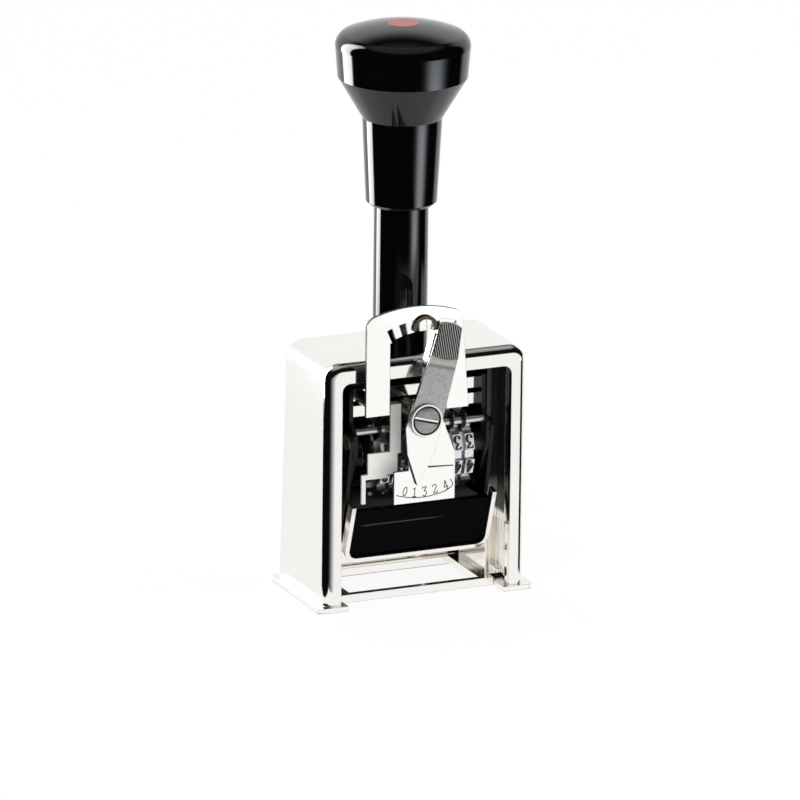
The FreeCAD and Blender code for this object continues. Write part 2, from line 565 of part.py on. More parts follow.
# The case: one casting with two sides, a top and a leaning rear wall, open in front and below.
def make_case():
    """Case, foot plates, base frame, rails and the trim on its inner walls."""
    case = doc.addObject("PartDesign::Body", "case_body")
    side = sketch_on(case, "YZ")
    add_outline(side, [("rim_y", "foot_thickness"),
                       (behind("case_depth"), "foot_thickness"),
                       (behind("case_depth - rear_taper"), "case_top"),
                       ("rim_y", "case_top")])
    extrude(case, "Pad", side, "2 * case_half_width", symmetric=True)
    top = value("case_top")
    half = value("case_half_width")
    rim = value("rim_y")
    round_edges(case, "case_corner_radius",
                lambda a, b: near(a.z, top) and near(b.z, top) and near(a.x, b.x))

    def on_front_edge(point):
        outer = abs(point.x) > half - value("case_corner_radius") - 0.001
        return near(point.y, rim) and (outer or near(point.z, top))
    round_edges(case, "case_edge_radius",
                lambda a, b: on_front_edge(a) and on_front_edge(b)
                and not (near(a.z, b.z) and a.z < top / 2))
    hollow = sketch_on(case, "YZ")
    add_outline(hollow, [("rim_y - overcut", "foot_thickness - overcut"),
                         (behind("case_depth - rear_wall"), "foot_thickness - overcut"),
                         (behind("case_depth - rear_taper - rear_wall"), "ceiling"),
                         ("rim_y - overcut", "ceiling")])
    extrude(case, "Pocket", hollow, "2 * mouth_half_width", symmetric=True)
    roof = value("ceiling")
    mouth = value("mouth_half_width")
    round_edges(case, "mouth_corner_radius",
                lambda a, b: near(a.z, roof) and near(b.z, roof) and near(abs(a.x), mouth)
                and near(a.x, b.x))
    slots = sketch_on(case, "YZ")
    slot_top = "cam_slot_bottom + cam_slot_height"
    slot_rear = behind("cam_slot_front + cam_slot_width")
    add_outline(slots, [(behind("cam_slot_front"), "cam_slot_bottom"),
                        (slot_rear, "cam_slot_bottom"),
                        (slot_rear, slot_top),
                        (behind("cam_slot_front"), slot_top)])
    extrude(case, "Pocket", slots, "2 * (mouth_half_width + cam_slot_depth)", symmetric=True)
    spigot_hole = rod("case_spigot_hole", "z", "spigot_radius + shaft_clearance",
                      "0", "stem_y", "ceiling - overcut", "top_wall + 2 * overcut")
    keep(cut("case", case, spigot_hole), "case")

    for name, sign in (("foot_left", "-1"), ("foot_right", "1")):
        outer = f"{sign} * (case_half_width + foot_flange)"
        inner = f"{sign} * (case_half_width + foot_flange - foot_width)"
        front = "rim_y - foot_front"
        rear = behind("case_depth + foot_rear")
        ring = [(outer, front), (outer, rear), (inner, rear), (inner, front)]
        foot = plate(name, "XY", ring if sign == "-1" else ring[::-1], "0", "foot_thickness")
        edge = value(outer)
        round_edges(foot, "foot_corner_radius",
                    lambda a, b, edge=edge: near(a.x, edge) and near(b.x, edge) and near(a.y, b.y))
        keep(foot, name)

    base_half = "case_half_width + foot_flange - foot_width - base_fit"
    base_rear = behind("case_depth - rear_wall - base_gap")
    outside = box("base_blank", f"-({base_half})", base_half,
                  behind("base_front"), base_rear, "0", "base_height")
    inside = box("base_window", "-window_half_width", "window_half_width",
                 behind("base_front + base_bar"), f"{base_rear} - base_rear_bar",
                 "-overcut", "base_height + overcut")
    keep(cut("base_frame", outside, inside), "base_frame")

    for name, sign in (("guide_rail_left", "-1"), ("guide_rail_right", "1")):
        left = "-mouth_half_width" if sign == "-1" else "rail_inner"
        right = "-rail_inner" if sign == "-1" else "mouth_half_width"
        keep(box(name, left, right, behind("rail_front"), behind("rail_rear"),
                 "base_height", "ceiling - mouth_corner_radius"), name)

    for name, sign in (("wall_liner_left", "-1"), ("wall_liner_right", "1")):
        wall = "-mouth_half_width" if sign == "-1" else "mouth_half_width - liner_thickness"
        strip = box(name + "_strip", wall, f"{wall} + liner_thickness", behind("liner_front"),
                    behind("liner_front + liner_width"), "foot_thickness",
                    "foot_thickness + liner_height")
        head = f"{wall} + liner_thickness" if sign == "-1" else f"{wall} - liner_thickness"
        rivet = rod(name + "_rivet", "x", "liner_rivet_radius", head,
                    behind("liner_front + liner_width / 2"), "liner_rivet_height",
                    "liner_thickness")
        keep(fuse(name, strip, rivet), name)


# The handle: a fixed stem on the case, and a sleeve and knob that slide over it on the rod.
def make_handle():
    """Stem, stem nut, return spring, plunger rod, sleeve, knob and inlay."""
    keep(turned("stem", [("rod_radius + shaft_clearance", "ceiling - nut_height - spigot_proud"),
                         ("spigot_radius", "ceiling - nut_height - spigot_proud"),
                         ("spigot_radius", "case_top"),
                         ("stem_radius", "case_top"),
                         ("stem_radius", "stem_top"),
                         ("stem_bore_radius", "stem_top"),
                         ("stem_bore_radius", "spring_seat"),
                         ("rod_radius + shaft_clearance", "spring_seat")]), "stem")

    nut_blank = doc.addObject("Part::Prism", "stem_nut_blank")
    nut_blank.Polygon = 6
    bind(nut_blank, "Circumradius", "nut_flats / 2 / cos(30)")
    bind(nut_blank, "Height", "nut_height")
    place(nut_blank, "0", "stem_y", "ceiling - nut_height")
    nut_bore = rod("stem_nut_bore", "z", "spigot_radius", "0", "stem_y",
                   "ceiling - nut_height - overcut", "nut_height + 2 * overcut")
    keep(cut("stem_nut", nut_blank, nut_bore), "stem_nut")

    coil_length = "spring_roof - spring_seat - 2 * spring_gap - 2 * spring_wire_radius"
    helix = doc.addObject("Part::Helix", "spring_path")
    bind(helix, "Radius", "spring_mean_radius")
    bind(helix, "Height", coil_length)
    bind(helix, "Pitch", f"({coil_length}) / spring_turns")
    wire = doc.addObject("Part::Circle", "spring_wire")
    wire.Placement = FreeCAD.Placement(FreeCAD.Vector(), FreeCAD.Vector(1, 0, 0), 90)
    bind(wire, "Radius", "spring_wire_radius")
    bind(wire, "Placement.Base.x", "spring_mean_radius")
    spring = doc.addObject("Part::Sweep", "spring_sweep")
    doc.recompute()
    spring.Sections = [wire]
    spring.Spine = (helix, [f"Edge{n + 1}" for n in range(len(helix.Shape.Edges))])
    spring.Solid = True
    spring.Frenet = True
    place(spring, "0", "stem_y", "spring_seat + spring_gap + spring_wire_radius")
    keep(spring, "return_spring")

    keep(rod("plunger_rod", "z", "rod_radius", "0", "stem_y", "works_top - bridge_thickness",
             "spring_roof + rod_grip - works_top + bridge_thickness"), "plunger_rod")

    keep(turned("handle_sleeve", [("handle_bore_radius", "sleeve_foot"),
                                  ("sleeve_foot_radius - sleeve_chamfer", "sleeve_foot"),
                                  ("sleeve_foot_radius", "sleeve_foot + sleeve_chamfer"),
                                  ("sleeve_top_radius", "knob_foot"),
                                  ("handle_bore_radius", "knob_foot")]), "handle_sleeve")

    band_foot = "knob_foot + cone_height"
    band_top = "knob_foot + cone_height + band_height"
    rim = "knob_top - crown_rise"
    seat = "knob_top - inlay_depth - inlay_sink"
    knob = turned("knob", [("handle_bore_radius", "knob_foot"),
                           ("cone_foot_radius", "knob_foot"),
                           ("band_foot_radius", band_foot),
                           ("knob_radius", band_top),
                           ("crown_edge_radius", rim),
                           ("inlay_radius", "knob_top - inlay_sink"),
                           ("inlay_radius", seat),
                           ("0.001", seat),
                           ("0.001", "spring_roof + rod_grip"),
                           ("rod_radius", "spring_roof + rod_grip"),
                           ("rod_radius", "spring_roof"),
                           ("handle_bore_radius", "spring_roof")],
                  bulges={3: "knob_shoulder_radius", 4: "crown_radius"})
    keep(knob, "knob")
    keep(rod("knob_inlay", "z", "inlay_radius", "0", "stem_y", seat, "inlay_depth + inlay_sink"),
         "knob_inlay")


def round_axle(radius, angle):
    """A point beside the wheel shaft, at a radius and at degrees up from the rear."""
    return f"axle_y + ({radius}) * cos({angle})", f"axle_z + ({radius}) * sin({angle})"


def ratchet_outline(teeth, tip, root):
    """Corners of a ratchet wheel: each tooth rises along a ramp and drops straight back."""
    step = 360 / teeth
    return [round_axle(radius, tooth * step) for tooth in range(teeth) for radius in (root, tip)]


# The works: two side plates joined by a bridge and two bars, with the wheel shaft between them.
def make_works_frame():
    """Side plates with their shoes, bridge, cross bars, shaft, spacers and detent pawls."""
    foot = "stroke + plate_clearance"
    profile = [(behind("plate_front"), f"{foot} + plate_step"), (behind("plate_chin"), foot),
               (behind("plate_rear"), foot), (behind("plate_rear"), "works_top"),
               (behind("plate_brow"), "works_top"),
               (behind("plate_brow"), "lower_bar_z - brow_drop"),
               (behind("plate_front"), "lower_bar_z - brow_drop - (plate_brow - plate_front)")]
    holes = [("axle_y", "axle_z", "shaft_radius"),
             ("pad_pivot_y", "pad_pivot_z", "pivot_pin_radius + shaft_clearance")]
    shoe_heights = (("lower", f"{foot} + shoe_rise"),
                    ("upper", "works_top - shoe_height - shoe_drop"))
    for name, left, shoe_left in (("side_plate_left", "-plate_outer",
                                   "-plate_outer - shoe_thickness"),
                                  ("side_plate_right", "plate_inner", "plate_outer")):
        wall = plate(name + "_wall", "YZ", profile, left, "plate_thickness", holes)
        shoes = [box(f"{name}_shoe_{level}", shoe_left, f"{shoe_left} + shoe_thickness",
                     behind("shoe_front"), behind("shoe_front + shoe_length"), low,
                     f"{low} + shoe_height")
                 for level, low in shoe_heights]
        keep(fuse(name, wall, *shoes), name)

    bridge = box("bridge_blank", "-plate_inner", "plate_inner", behind("bridge_front"),
                 behind("plate_rear"), "works_top - bridge_thickness", "works_top")
    rod_hole = rod("bridge_hole", "z", "rod_radius", "0", "stem_y",
                   "works_top - bridge_thickness - overcut", "bridge_thickness + 2 * overcut")
    keep(cut("works_bridge", bridge, rod_hole), "works_bridge")

    bar_front = behind("bar_front")
    bar_rear = behind("bar_front + bar_depth")
    for name, low in (("cross_bar_lower", "lower_bar_z"), ("cross_bar_upper", "upper_bar_z")):
        keep(box(name, "-plate_inner", "plate_inner", bar_front, bar_rear, low,
                 f"{low} + bar_height"), name)

    keep(rod("wheel_shaft", "x", "shaft_radius", "-plate_outer", "axle_y", "axle_z",
             "2 * plate_outer"), "wheel_shaft")

    spans = [("-plate_inner", "repeat_ratchet_left - side_play"),
             ("repeat_ratchet_left + repeat_ratchet_width + side_play", "yoke_left - side_play"),
             ("yoke_right + yoke_thickness + side_play", "plate_inner")]
    rings = []
    for number, (left, right) in enumerate(spans, start=1):
        length = f"({right}) - ({left})"
        outer = rod(f"spacer_{number}_outer", "x", "shaft_radius + spacer_wall", left, "axle_y",
                    "axle_z", length)
        bore = rod(f"spacer_{number}_bore", "x", "shaft_radius", left, "axle_y", "axle_z", length)
        rings.append(cut(f"spacer_{number}", outer, bore))
    keep(group("shaft_spacers", *rings), "shaft_spacers")

    keep(rod("detent_shaft", "x", "detent_shaft_radius", "-plate_inner",
             *round_axle("detent_reach", "detent_angle"), "2 * plate_inner"), "detent_shaft")
    keep(group("detent_pawls", *pawls("detent_pawl", "detent_angle", "detent_reach",
                                      "detent_shaft_radius")), "detent_pawls")


def wheel_right(number):
    """Right face of a number wheel, counted from the right."""
    return f"wheels_right - {number} * wheel_pitch"


def pawls(name, angle, reach, pin_radius):
    """A comb of thin pawls, one in the gap beside each number wheel's rim, on a common pin."""
    tip = "ratchet_tip_radius + pawl_clearance"
    ring = f"({pin_radius} + eye_wall)"
    pin_y, pin_z = round_axle(reach, angle)
    outline = [(f"{pin_y} - {ring} * sin({angle})", f"{pin_z} + {ring} * cos({angle})"),
               round_axle(tip, f"{angle} + pawl_tip_angle"),
               round_axle(tip, angle),
               (f"{pin_y} + {ring} * sin({angle})", f"{pin_z} - {ring} * cos({angle})")]
    comb = []
    for number in range(int(value("wheel_count"))):
        label = f"{name}_{number}"
        left = f"{wheel_right(number)} - rim_width - (ratchet_width + pawl_thickness) / 2"
        boss = rod(label + "_boss", "x", ring, left, pin_y, pin_z, "pawl_thickness")
        finger = plate(label + "_finger", "YZ", outline, left, "pawl_thickness")
        hole = rod(label + "_hole", "x", pin_radius, f"{left} - overcut", pin_y, pin_z,
                   "pawl_thickness + 2 * overcut")
        comb.append(cut(label, fuse(label + "_blank", boss, finger), hole))
    return comb


# Number wheels: a rim with ten raised lands for the type, and a ratchet on its left face.
def make_wheels():
    """Eight number wheels and the repeat counter's ratchet, all free to turn on the shaft."""
    lands = 10
    rim_radius = "type_radius - type_relief - land_height"
    low = f"{rim_radius} - land_root"
    high = "type_radius - type_relief"
    for number in range(int(value("wheel_count"))):
        name = f"number_wheel_{number + 1}"
        body = doc.addObject("PartDesign::Body", name)
        left = f"{wheel_right(number)} - rim_width"
        rim = sketch_on(body, "YZ", left)
        add_circle(rim, "axle_y", "axle_z", rim_radius)
        extrude(body, "Pad", rim, "rim_width")
        for land in range(lands):
            angle = -90 + land * 360 / lands
            corners = []
            for radius, side in ((low, 1), (low, -1), (high, -1), (high, 1)):
                middle_y, middle_z = round_axle(radius, angle)
                corners.append((f"{middle_y} + {side} * land_width / 2 * sin({angle})",
                                f"{middle_z} - {side} * land_width / 2 * cos({angle})"))
            sketch = sketch_on(body, "YZ", left)
            add_outline(sketch, corners)
            extrude(body, "Pad", sketch, "rim_width")
        teeth = sketch_on(body, "YZ", f"{left} - ratchet_width")
        add_outline(teeth, ratchet_outline(lands, "ratchet_tip_radius", "ratchet_root_radius"))
        extrude(body, "Pad", teeth, "ratchet_width + rim_width / 2")
        bore = sketch_on(body, "YZ", f"{left} - ratchet_width - overcut")
        add_circle(bore, "axle_y", "axle_z", "shaft_radius + shaft_clearance")
        pocket = extrude(body, "Pocket", bore, "rim_width + ratchet_width + 2 * overcut")
        pocket.Reversed = True
        keep(body, name)

    outline = ratchet_outline(int(value("repeat_teeth")), "repeat_ratchet_radius",
                              "repeat_ratchet_radius - repeat_tooth_height")
    repeat = plate("repeat_ratchet", "YZ", outline, "repeat_ratchet_left", "repeat_ratchet_width",
                   holes=[("axle_y", "axle_z", "shaft_radius + shaft_clearance")])
    keep(repeat, "repeat_ratchet")


# The drive: a yoke that swings on the wheel shaft and carries a comb of pawls behind the wheels.
def make_drive():
    """Drive yoke arms, their pin, and the drive pawls."""
    pin_y, pin_z = round_axle("pawl_pin_reach", "pawl_rest")
    outline = []
    for deep, high, half, sides in (("axle_y", "axle_z", "yoke_root_half_width", (1, -1)),
                                    (pin_y, pin_z, "yoke_tip_half_width", (-1, 1))):
        for side in sides:
            outline.append((f"{deep} - {side} * {half} * sin(pawl_rest)",
                            f"{high} + {side} * {half} * cos(pawl_rest)"))
    for name, left in (("drive_arm_left", "yoke_left"), ("drive_arm_right", "yoke_right")):
        hub = rod(name + "_hub", "x", "yoke_boss_radius", left, "axle_y", "axle_z",
                  "yoke_thickness")
        eye = rod(name + "_eye", "x", "pawl_pin_radius + eye_wall", left, pin_y, pin_z,
                  "yoke_thickness")
        web = plate(name + "_web", "YZ", outline, left, "yoke_thickness")
        bores = group(name + "_bores",
                      rod(name + "_shaft_bore", "x", "shaft_radius + shaft_clearance",
                          f"{left} - overcut", "axle_y", "axle_z", "yoke_thickness + 2 * overcut"),
                      rod(name + "_pin_bore", "x", "pawl_pin_radius", f"{left} - overcut",
                          pin_y, pin_z, "yoke_thickness + 2 * overcut"))
        keep(cut(name, fuse(name + "_blank", hub, eye, web), bores), name)
    keep(rod("drive_pin", "x", "pawl_pin_radius", "yoke_left", pin_y, pin_z,
             "yoke_right + yoke_thickness - yoke_left"), "drive_pin")
    keep(group("drive_pawls", *pawls("drive_pawl", "pawl_rest", "pawl_pin_reach",
                                     "pawl_pin_radius")), "drive_pawls")


def leaning(across, up, lean):
    """A point beside and above the lever's pivot, in the frame of an arm that leans right."""
    return (f"pivot_across + ({across}) * cos({lean}) + ({up}) * sin({lean})",
            f"pivot_z - ({across}) * sin({lean}) + ({up}) * cos({lean})")


# The front: an arch plate with setting notches, a scale plate and a bracket, on the cross bars.
def make_front():
    """Arch plate, scale plate, standoffs, setting bracket and pivot screw."""
    shoulder = "pivot_z + arch_rise - arch_shoulder_drop"
    feet = "pivot_z + arch_leg_drop"
    half_crown = "(arch_right_top - arch_left) / 2"
    crown_radius = f"(({half_crown})^2 + arch_shoulder_drop^2) / (2 * arch_shoulder_drop)"
    blank = plate("arch_blank", "XZ",
                  [("arch_left", feet), ("arch_left", shoulder), ("arch_right_top", shoulder),
                   ("arch_right", feet)], "arch_rear", "arch_thickness", bulges={1: crown_radius})
    corner_x = (value("arch_left"), value("arch_right_top"))
    corner_z = value(shoulder)
    round_edges(blank, "arch_corner_radius",
                lambda a, b: near(a.z, corner_z) and near(b.z, corner_z)
                and min(abs(a.x - x) for x in corner_x) < 0.001 and near(a.x, b.x))
    mouth_top = f"{feet} + arch_leg_length"
    mouth = plate("arch_mouth", "XZ",
                  [("arch_leg_left", f"{feet} - overcut"), ("arch_leg_left", mouth_top),
                   ("arch_leg_right", mouth_top), ("arch_leg_right", f"{feet} - overcut")],
                  "arch_rear + overcut", "arch_thickness + 2 * overcut")
    sector = plate("arch_sector", "XZ",
                   [("pivot_across", "pivot_z"),
                    leaning("0", "notch_root_radius", "-opening_left"),
                    leaning("0", "notch_root_radius", "opening_right")],
                   "arch_rear + overcut", "arch_thickness + 2 * overcut",
                   bulges={1: "notch_root_radius"})
    teeth = []
    for number in range(int(value("tooth_count"))):
        lean = f"first_tooth + {number} * notch_pitch"
        corners = [leaning("-tooth_width / 2", "tooth_tip_radius", lean),
                   leaning("-tooth_width / 2", "notch_root_radius + tooth_root", lean),
                   leaning("tooth_width / 2", "notch_root_radius + tooth_root", lean),
                   leaning("tooth_width / 2", "tooth_tip_radius", lean)]
        teeth.append(plate(f"arch_tooth_{number}", "XZ", corners, "arch_rear", "arch_thickness"))
    opened = cut("arch_opened", blank, fuse("arch_opening", mouth, sector))
    keep(fuse("arch_plate", opened, *teeth), "arch_plate")

    foot = "stroke + scale_foot"
    scale = plate("scale_plate", "XZ",
                  [("scale_left", foot), ("scale_left", f"{foot} + scale_left_height"),
                   ("pivot_across - scale_ear", f"{foot} + scale_left_height"),
                   ("pivot_across - scale_ear", "pivot_z + scale_ear"),
                   ("pivot_across + scale_ear", "pivot_z + scale_ear"),
                   ("scale_right", f"{foot} + scale_right_height"),
                   ("scale_right", foot)],
                  "rim_y - scale_front + scale_thickness", "scale_thickness",
                  holes=[("pivot_across", "pivot_z", "screw_radius + shaft_clearance")])
    keep(scale, "scale_plate")

    post_rear = behind("bar_front")
    standoffs = []
    for name, across in (("left", "left_standoff"), ("right", "right_standoff")):
        standoffs.append(rod(f"standoff_{name}", "y", "standoff_radius", across, "arch_rear",
                             "upper_bar_z + bar_height / 2", f"{post_rear} - arch_rear"))
    keep(group("arch_standoffs", *standoffs), "arch_standoffs")

    post_front = "rim_y - scale_front + scale_thickness"
    post = rod("pivot_post_blank", "y", "pivot_post_radius", "pivot_across", post_front, "pivot_z",
               f"{post_rear} - ({post_front})")
    post_bore = rod("pivot_post_bore", "y", "screw_radius", "pivot_across",
                    f"{post_front} - overcut", "pivot_z", "screw_length")
    keep(cut("pivot_post", post, post_bore), "pivot_post")

    head_front = "rim_y - lever_projection"
    head = rod("screw_head", "y", "screw_head_radius", "pivot_across", head_front, "pivot_z",
               "lever_projection - lever_front")
    shank = rod("screw_shank", "y", "screw_radius", "pivot_across", "rim_y - lever_front",
                "pivot_z", "screw_length - 2 * overcut")
    slot = box("screw_slot", "pivot_across - screw_head_radius - overcut",
               "pivot_across + screw_head_radius + overcut", f"{head_front} - overcut",
               f"{head_front} + screw_slot_depth", "pivot_z - screw_slot_width / 2",
               "pivot_z + screw_slot_width / 2")
    keep(cut("pivot_screw", fuse("screw_blank", head, shank), slot), "pivot_screw")

    low = "stroke + bracket_foot"
    high = f"{low} + bracket_height"
    step = f"{low} + bracket_step"
    face = plate("bracket_face", "XZ",
                 [("finger_left", "stroke + bracket_finger_foot"),
                  ("finger_left", f"{low} + finger_tie"),
                  ("bracket_left", f"{low} + finger_tie"),
                  ("bracket_left", high),
                  ("strap_left", high),
                  ("strap_left", "lower_bar_z + strap_rise"),
                  ("strap_right", "lower_bar_z + strap_rise"),
                  ("strap_right", "stroke + strap_foot"),
                  ("bracket_right", "stroke + strap_foot"),
                  ("bracket_right", step),
                  ("bracket_step_left", step),
                  ("bracket_step_left", low),
                  ("finger_left + bracket_finger", low),
                  ("finger_left + bracket_finger", "stroke + bracket_finger_foot")],
                 behind("bracket_front + bracket_thickness"), "bracket_thickness")
    tab_low = "lower_bar_z + bar_height / 2"
    tab = box("bracket_tab", "strap_left", "strap_right", behind("bracket_front"),
              behind("bar_front"), tab_low, f"{tab_low} + bracket_thickness")
    keep(fuse("setting_bracket", face, tab), "setting_bracket")


# The setting lever: a grey thumb arm and a bright pointer, riveted together on one pivot.
def make_lever():
    """Thumb arm, pointer blade, detent spring and collar."""
    neck_left = "lever_sway - lever_neck_width / 2"
    neck_right = "lever_sway + lever_neck_width / 2"
    top_left = "-lever_top_width / 2"
    top_right = "lever_top_width / 2"

    def lever_layer(name, points, rear, thickness, bulges):
        """A flat layer of the lever, through points in the frame of its leaning arm."""
        corners = [leaning(across, up, "lever_lean") for across, up in points]
        return plate(name, "XZ", corners, rear, thickness, bulges=bulges)

    arm = lever_layer("lever_arm",
                      [("-lever_foot_width / 2", "0"), (neck_left, "lever_neck"),
                       (top_left, "lever_length"), (top_right, "lever_length"),
                       (neck_right, "lever_neck"), ("lever_foot_width / 2", "0")],
                      "lever_rear", "lever_thickness", {2: "lever_crown_radius"})
    eye = rod("lever_eye", "y", "lever_foot_width / 2", "pivot_across", "rim_y - lever_front",
              "pivot_z", "lever_thickness")
    lip = plate("lever_lip", "YZ",
                [("lever_rear - lever_thickness / 2", "lip_foot"),
                 ("lever_rear", "lip_foot"),
                 ("lever_rear + lip_depth", "lip_foot + lip_slope"),
                 ("lever_rear + lip_depth", "lip_top"),
                 ("lever_rear - lever_thickness / 2", "lip_top")], "lip_left", "lip_thickness")
    upright = FreeCAD.Vector(0, 1, 0)
    lip.Placement = FreeCAD.Placement(FreeCAD.Vector(), upright, value("lever_lean"))
    bind(lip, "Placement.Rotation.Angle", "lever_lean")
    place(lip, "pivot_across", "0", "pivot_z")
    grip = lever_layer("lever_grip",
                       [(neck_left, "lever_neck"), (top_left, "lever_length"),
                        (top_right, "lever_length"), (neck_right, "lever_neck")],
                       "rim_y - lever_front", "grip_rise",
                       {1: "lever_crown_radius", 3: "grip_foot_radius"})
    bore = rod("lever_bore", "y", "screw_radius + shaft_clearance", "pivot_across",
               "rim_y - lever_front - overcut", "pivot_z", "lever_thickness + 2 * overcut")
    blank = fuse("lever_blank", arm, eye, lip, grip)
    keep(cut("setting_lever", blank, bore), "setting_lever")

    pointer = [("-pointer_half_width", "-pointer_cheek"), ("-pointer_head", "pointer_head"),
               ("pointer_head", "pointer_head"), ("pointer_half_width", "-pointer_cheek"),
               ("pointer_waist", "-pointer_waist_drop"), ("0", "-pointer_length"),
               ("-pointer_waist", "-pointer_waist_drop")]
    corners = [leaning(across, up, "pointer_lean") for across, up in pointer]
    keep(plate("pointer_blade", "XZ", corners, "lever_rear + pointer_thickness",
               "pointer_thickness",
               holes=[("pivot_across", "pivot_z", "screw_radius + shaft_clearance")]), "pointer")

    ring = rod("collar_outer", "y", "collar_radius", "pivot_across",
               "rim_y - lever_front - collar_height", "pivot_z", "collar_height")
    inside = rod("collar_inner", "y", "collar_radius - collar_width", "pivot_across",
                 "rim_y - lever_front - collar_height - overcut", "pivot_z",
                 "collar_height + 2 * overcut")
    keep(cut("pivot_collar", ring, inside), "pivot_collar")

    bend_x = "pivot_across + hook_across"
    bend_z = "pivot_z + hook_rise"
    front = "lever_rear - hook_thickness"
    inner = "(hook_radius - hook_width)"
    disc = rod("hook_outer", "y", "hook_radius", bend_x, front, bend_z, "hook_thickness")
    hollow = group("hook_hollow",
                   rod("hook_inner", "y", inner, bend_x, f"{front} - overcut", bend_z,
                       "hook_thickness + 2 * overcut"),
                   box("hook_lower", f"{bend_x} - hook_radius - overcut",
                       f"{bend_x} + hook_radius + overcut", f"{front} - overcut",
                       "lever_rear + overcut", f"{bend_z} - hook_radius - overcut", bend_z))
    left_leg = box("hook_left_leg", f"{bend_x} - hook_radius", f"{bend_x} - {inner}", front,
                   "lever_rear", f"{bend_z} - hook_leg", bend_z)
    right_leg = box("hook_right_leg", f"{bend_x} + {inner}", f"{bend_x} + hook_radius", front,
                    "lever_rear", f"{bend_z} - hook_leg / 2", bend_z)
    hook = fuse("hook_blank", cut("hook_bend", disc, hollow), left_leg, right_leg)
    keep(cut("detent_spring", hook, blank), "detent_spring")


# The ink pad: a tray under the wheels, hung by two arms from pins in the side plates.
def make_pad():
    """Tray, pad, clip, arms and pivot pins."""
    shell = plate("tray_shell", "YZ",
                  [(behind("tray_front"), "tray_top"),
                   (behind("tray_front + tray_lean"), "tray_floor"),
                   (behind("tray_belly"), "tray_floor + tray_belly_rise"),
                   (behind("tray_rear"), "tray_top - tray_rear_height"),
                   (behind("tray_rear"), "tray_top")], "-tray_half_width", "2 * tray_half_width")
    toe, belly = value("tray_floor"), value("tray_floor + tray_belly_rise")
    round_edges(shell, "tray_corner_radius",
                lambda a, b: near(a.x, b.x) and {near(a.z, toe), near(b.z, toe)} == {True, False}
                and (near(a.z, belly) or near(b.z, belly)))
    well = plate("tray_well", "YZ",
                 [(behind("tray_front + well_lip"), "tray_top + overcut"),
                  (behind("tray_front + well_toe"), "tray_floor + well_floor"),
                  (behind("tray_belly + well_heel"), "tray_floor + well_floor"),
                  (behind("tray_rear - well_shelf"), "tray_top - well_step"),
                  (behind("tray_rear - tray_wall"), "tray_top + overcut")],
                 "-tray_half_width + tray_wall", "2 * (tray_half_width - tray_wall)")
    keep(cut("ink_tray", shell, well), "ink_tray")

    felt = plate("ink_felt", "YZ",
                 [(behind("tray_front + well_lip + 2 * pad_fit"), "pad_top"),
                  (behind("tray_front + well_toe + pad_fit"), "tray_floor + well_floor + pad_fit"),
                  (behind("tray_belly + well_heel - pad_fit"),
                   "tray_floor + well_floor + pad_fit"),
                  (behind("tray_rear - well_shelf - 2 * pad_fit"), "tray_top - well_step"),
                  (behind("tray_rear - tray_wall - 2 * pad_fit"), "pad_top")],
                 "-tray_half_width + tray_wall + pad_fit",
                 "2 * (tray_half_width - tray_wall - pad_fit)")
    keep(felt, "ink_pad")

    foot = "(sqrt(tray_height^2 + tray_lean^2) + clip_drop)"
    clip = plate("clip_strip", "XZ",
                 [("-clip_outer", "clip_tip"), ("-clip_inner", "clip_tip"),
                  ("-clip_inner", f"-{foot}"), ("clip_inner", f"-{foot}"),
                  ("clip_inner", "clip_tip"), ("clip_outer", "clip_tip"),
                  ("clip_outer", f"-{foot} - clip_thickness"),
                  ("-clip_outer", f"-{foot} - clip_thickness")],
                 "clip_depth - clip_proud", "clip_depth")
    corner = value(f"-{foot} - clip_thickness")
    round_edges(clip, "clip_corner_radius",
                lambda a, b: near(a.z, corner) and near(b.z, corner) and near(a.x, b.x))
    bend = value(f"-{foot}")
    round_edges(clip, "clip_inner_radius",
                lambda a, b: near(a.z, bend) and near(b.z, bend) and near(a.x, b.x))
    lean = "atan(tray_lean / tray_height)"
    clip.Placement = FreeCAD.Placement(FreeCAD.Vector(), FreeCAD.Vector(1, 0, 0), value(lean))
    bind(clip, "Placement.Rotation.Angle", lean)
    place(clip, "0", behind("tray_front"), "tray_top")
    keep(clip, "pad_clip")

    neck_z = "pad_pivot_z - arm_neck_drop"
    arm_profile = [("pad_pivot_y - arm_neck_half_width", neck_z),
                   (behind("tray_front + arm_shoulder"), "tray_top + arm_shoulder_rise"),
                   (behind("tray_front + arm_foot"), "tray_floor + arm_foot_rise"),
                   (behind("tray_front + arm_foot + arm_foot_width"),
                    "tray_floor + arm_foot_rise"),
                   (behind("tray_front + arm_shoulder + arm_foot_width"),
                    "tray_top + arm_shoulder_rise"),
                   ("pad_pivot_y + arm_neck_half_width", neck_z)]
    pins = []
    for name, left, head, shank_left in (
            ("pad_arm_left", "-clip_inner - arm_thickness",
             "-clip_inner - arm_thickness - pivot_pin_head",
             "-clip_inner - arm_thickness - pivot_pin_head"),
            ("pad_arm_right", "clip_inner", "clip_inner + arm_thickness", "plate_inner")):
        web = plate(name + "_web", "YZ", arm_profile, left, "arm_thickness")
        boss = rod(name + "_boss", "x", "arm_boss_radius", left, "pad_pivot_y", "pad_pivot_z",
                   "arm_thickness")
        hole = rod(name + "_hole", "x", "pivot_pin_radius", f"{left} - overcut", "pad_pivot_y",
                   "pad_pivot_z", "arm_thickness + 2 * overcut")
        keep(cut(name, fuse(name + "_blank", web, boss), hole), name)
        shank = rod(name + "_pin_shank", "x", "pivot_pin_radius", shank_left, "pad_pivot_y",
                    "pad_pivot_z", "clip_inner + arm_thickness + pivot_pin_head - plate_inner")
        cap = rod(name + "_pin_head", "x", "pivot_pin_head_radius", head, "pad_pivot_y",
                  "pad_pivot_z", "pivot_pin_head")
        pins.append(fuse(name + "_pin", shank, cap))
    keep(group("pad_pivot_pins", *pins), "pad_pivot_pins")


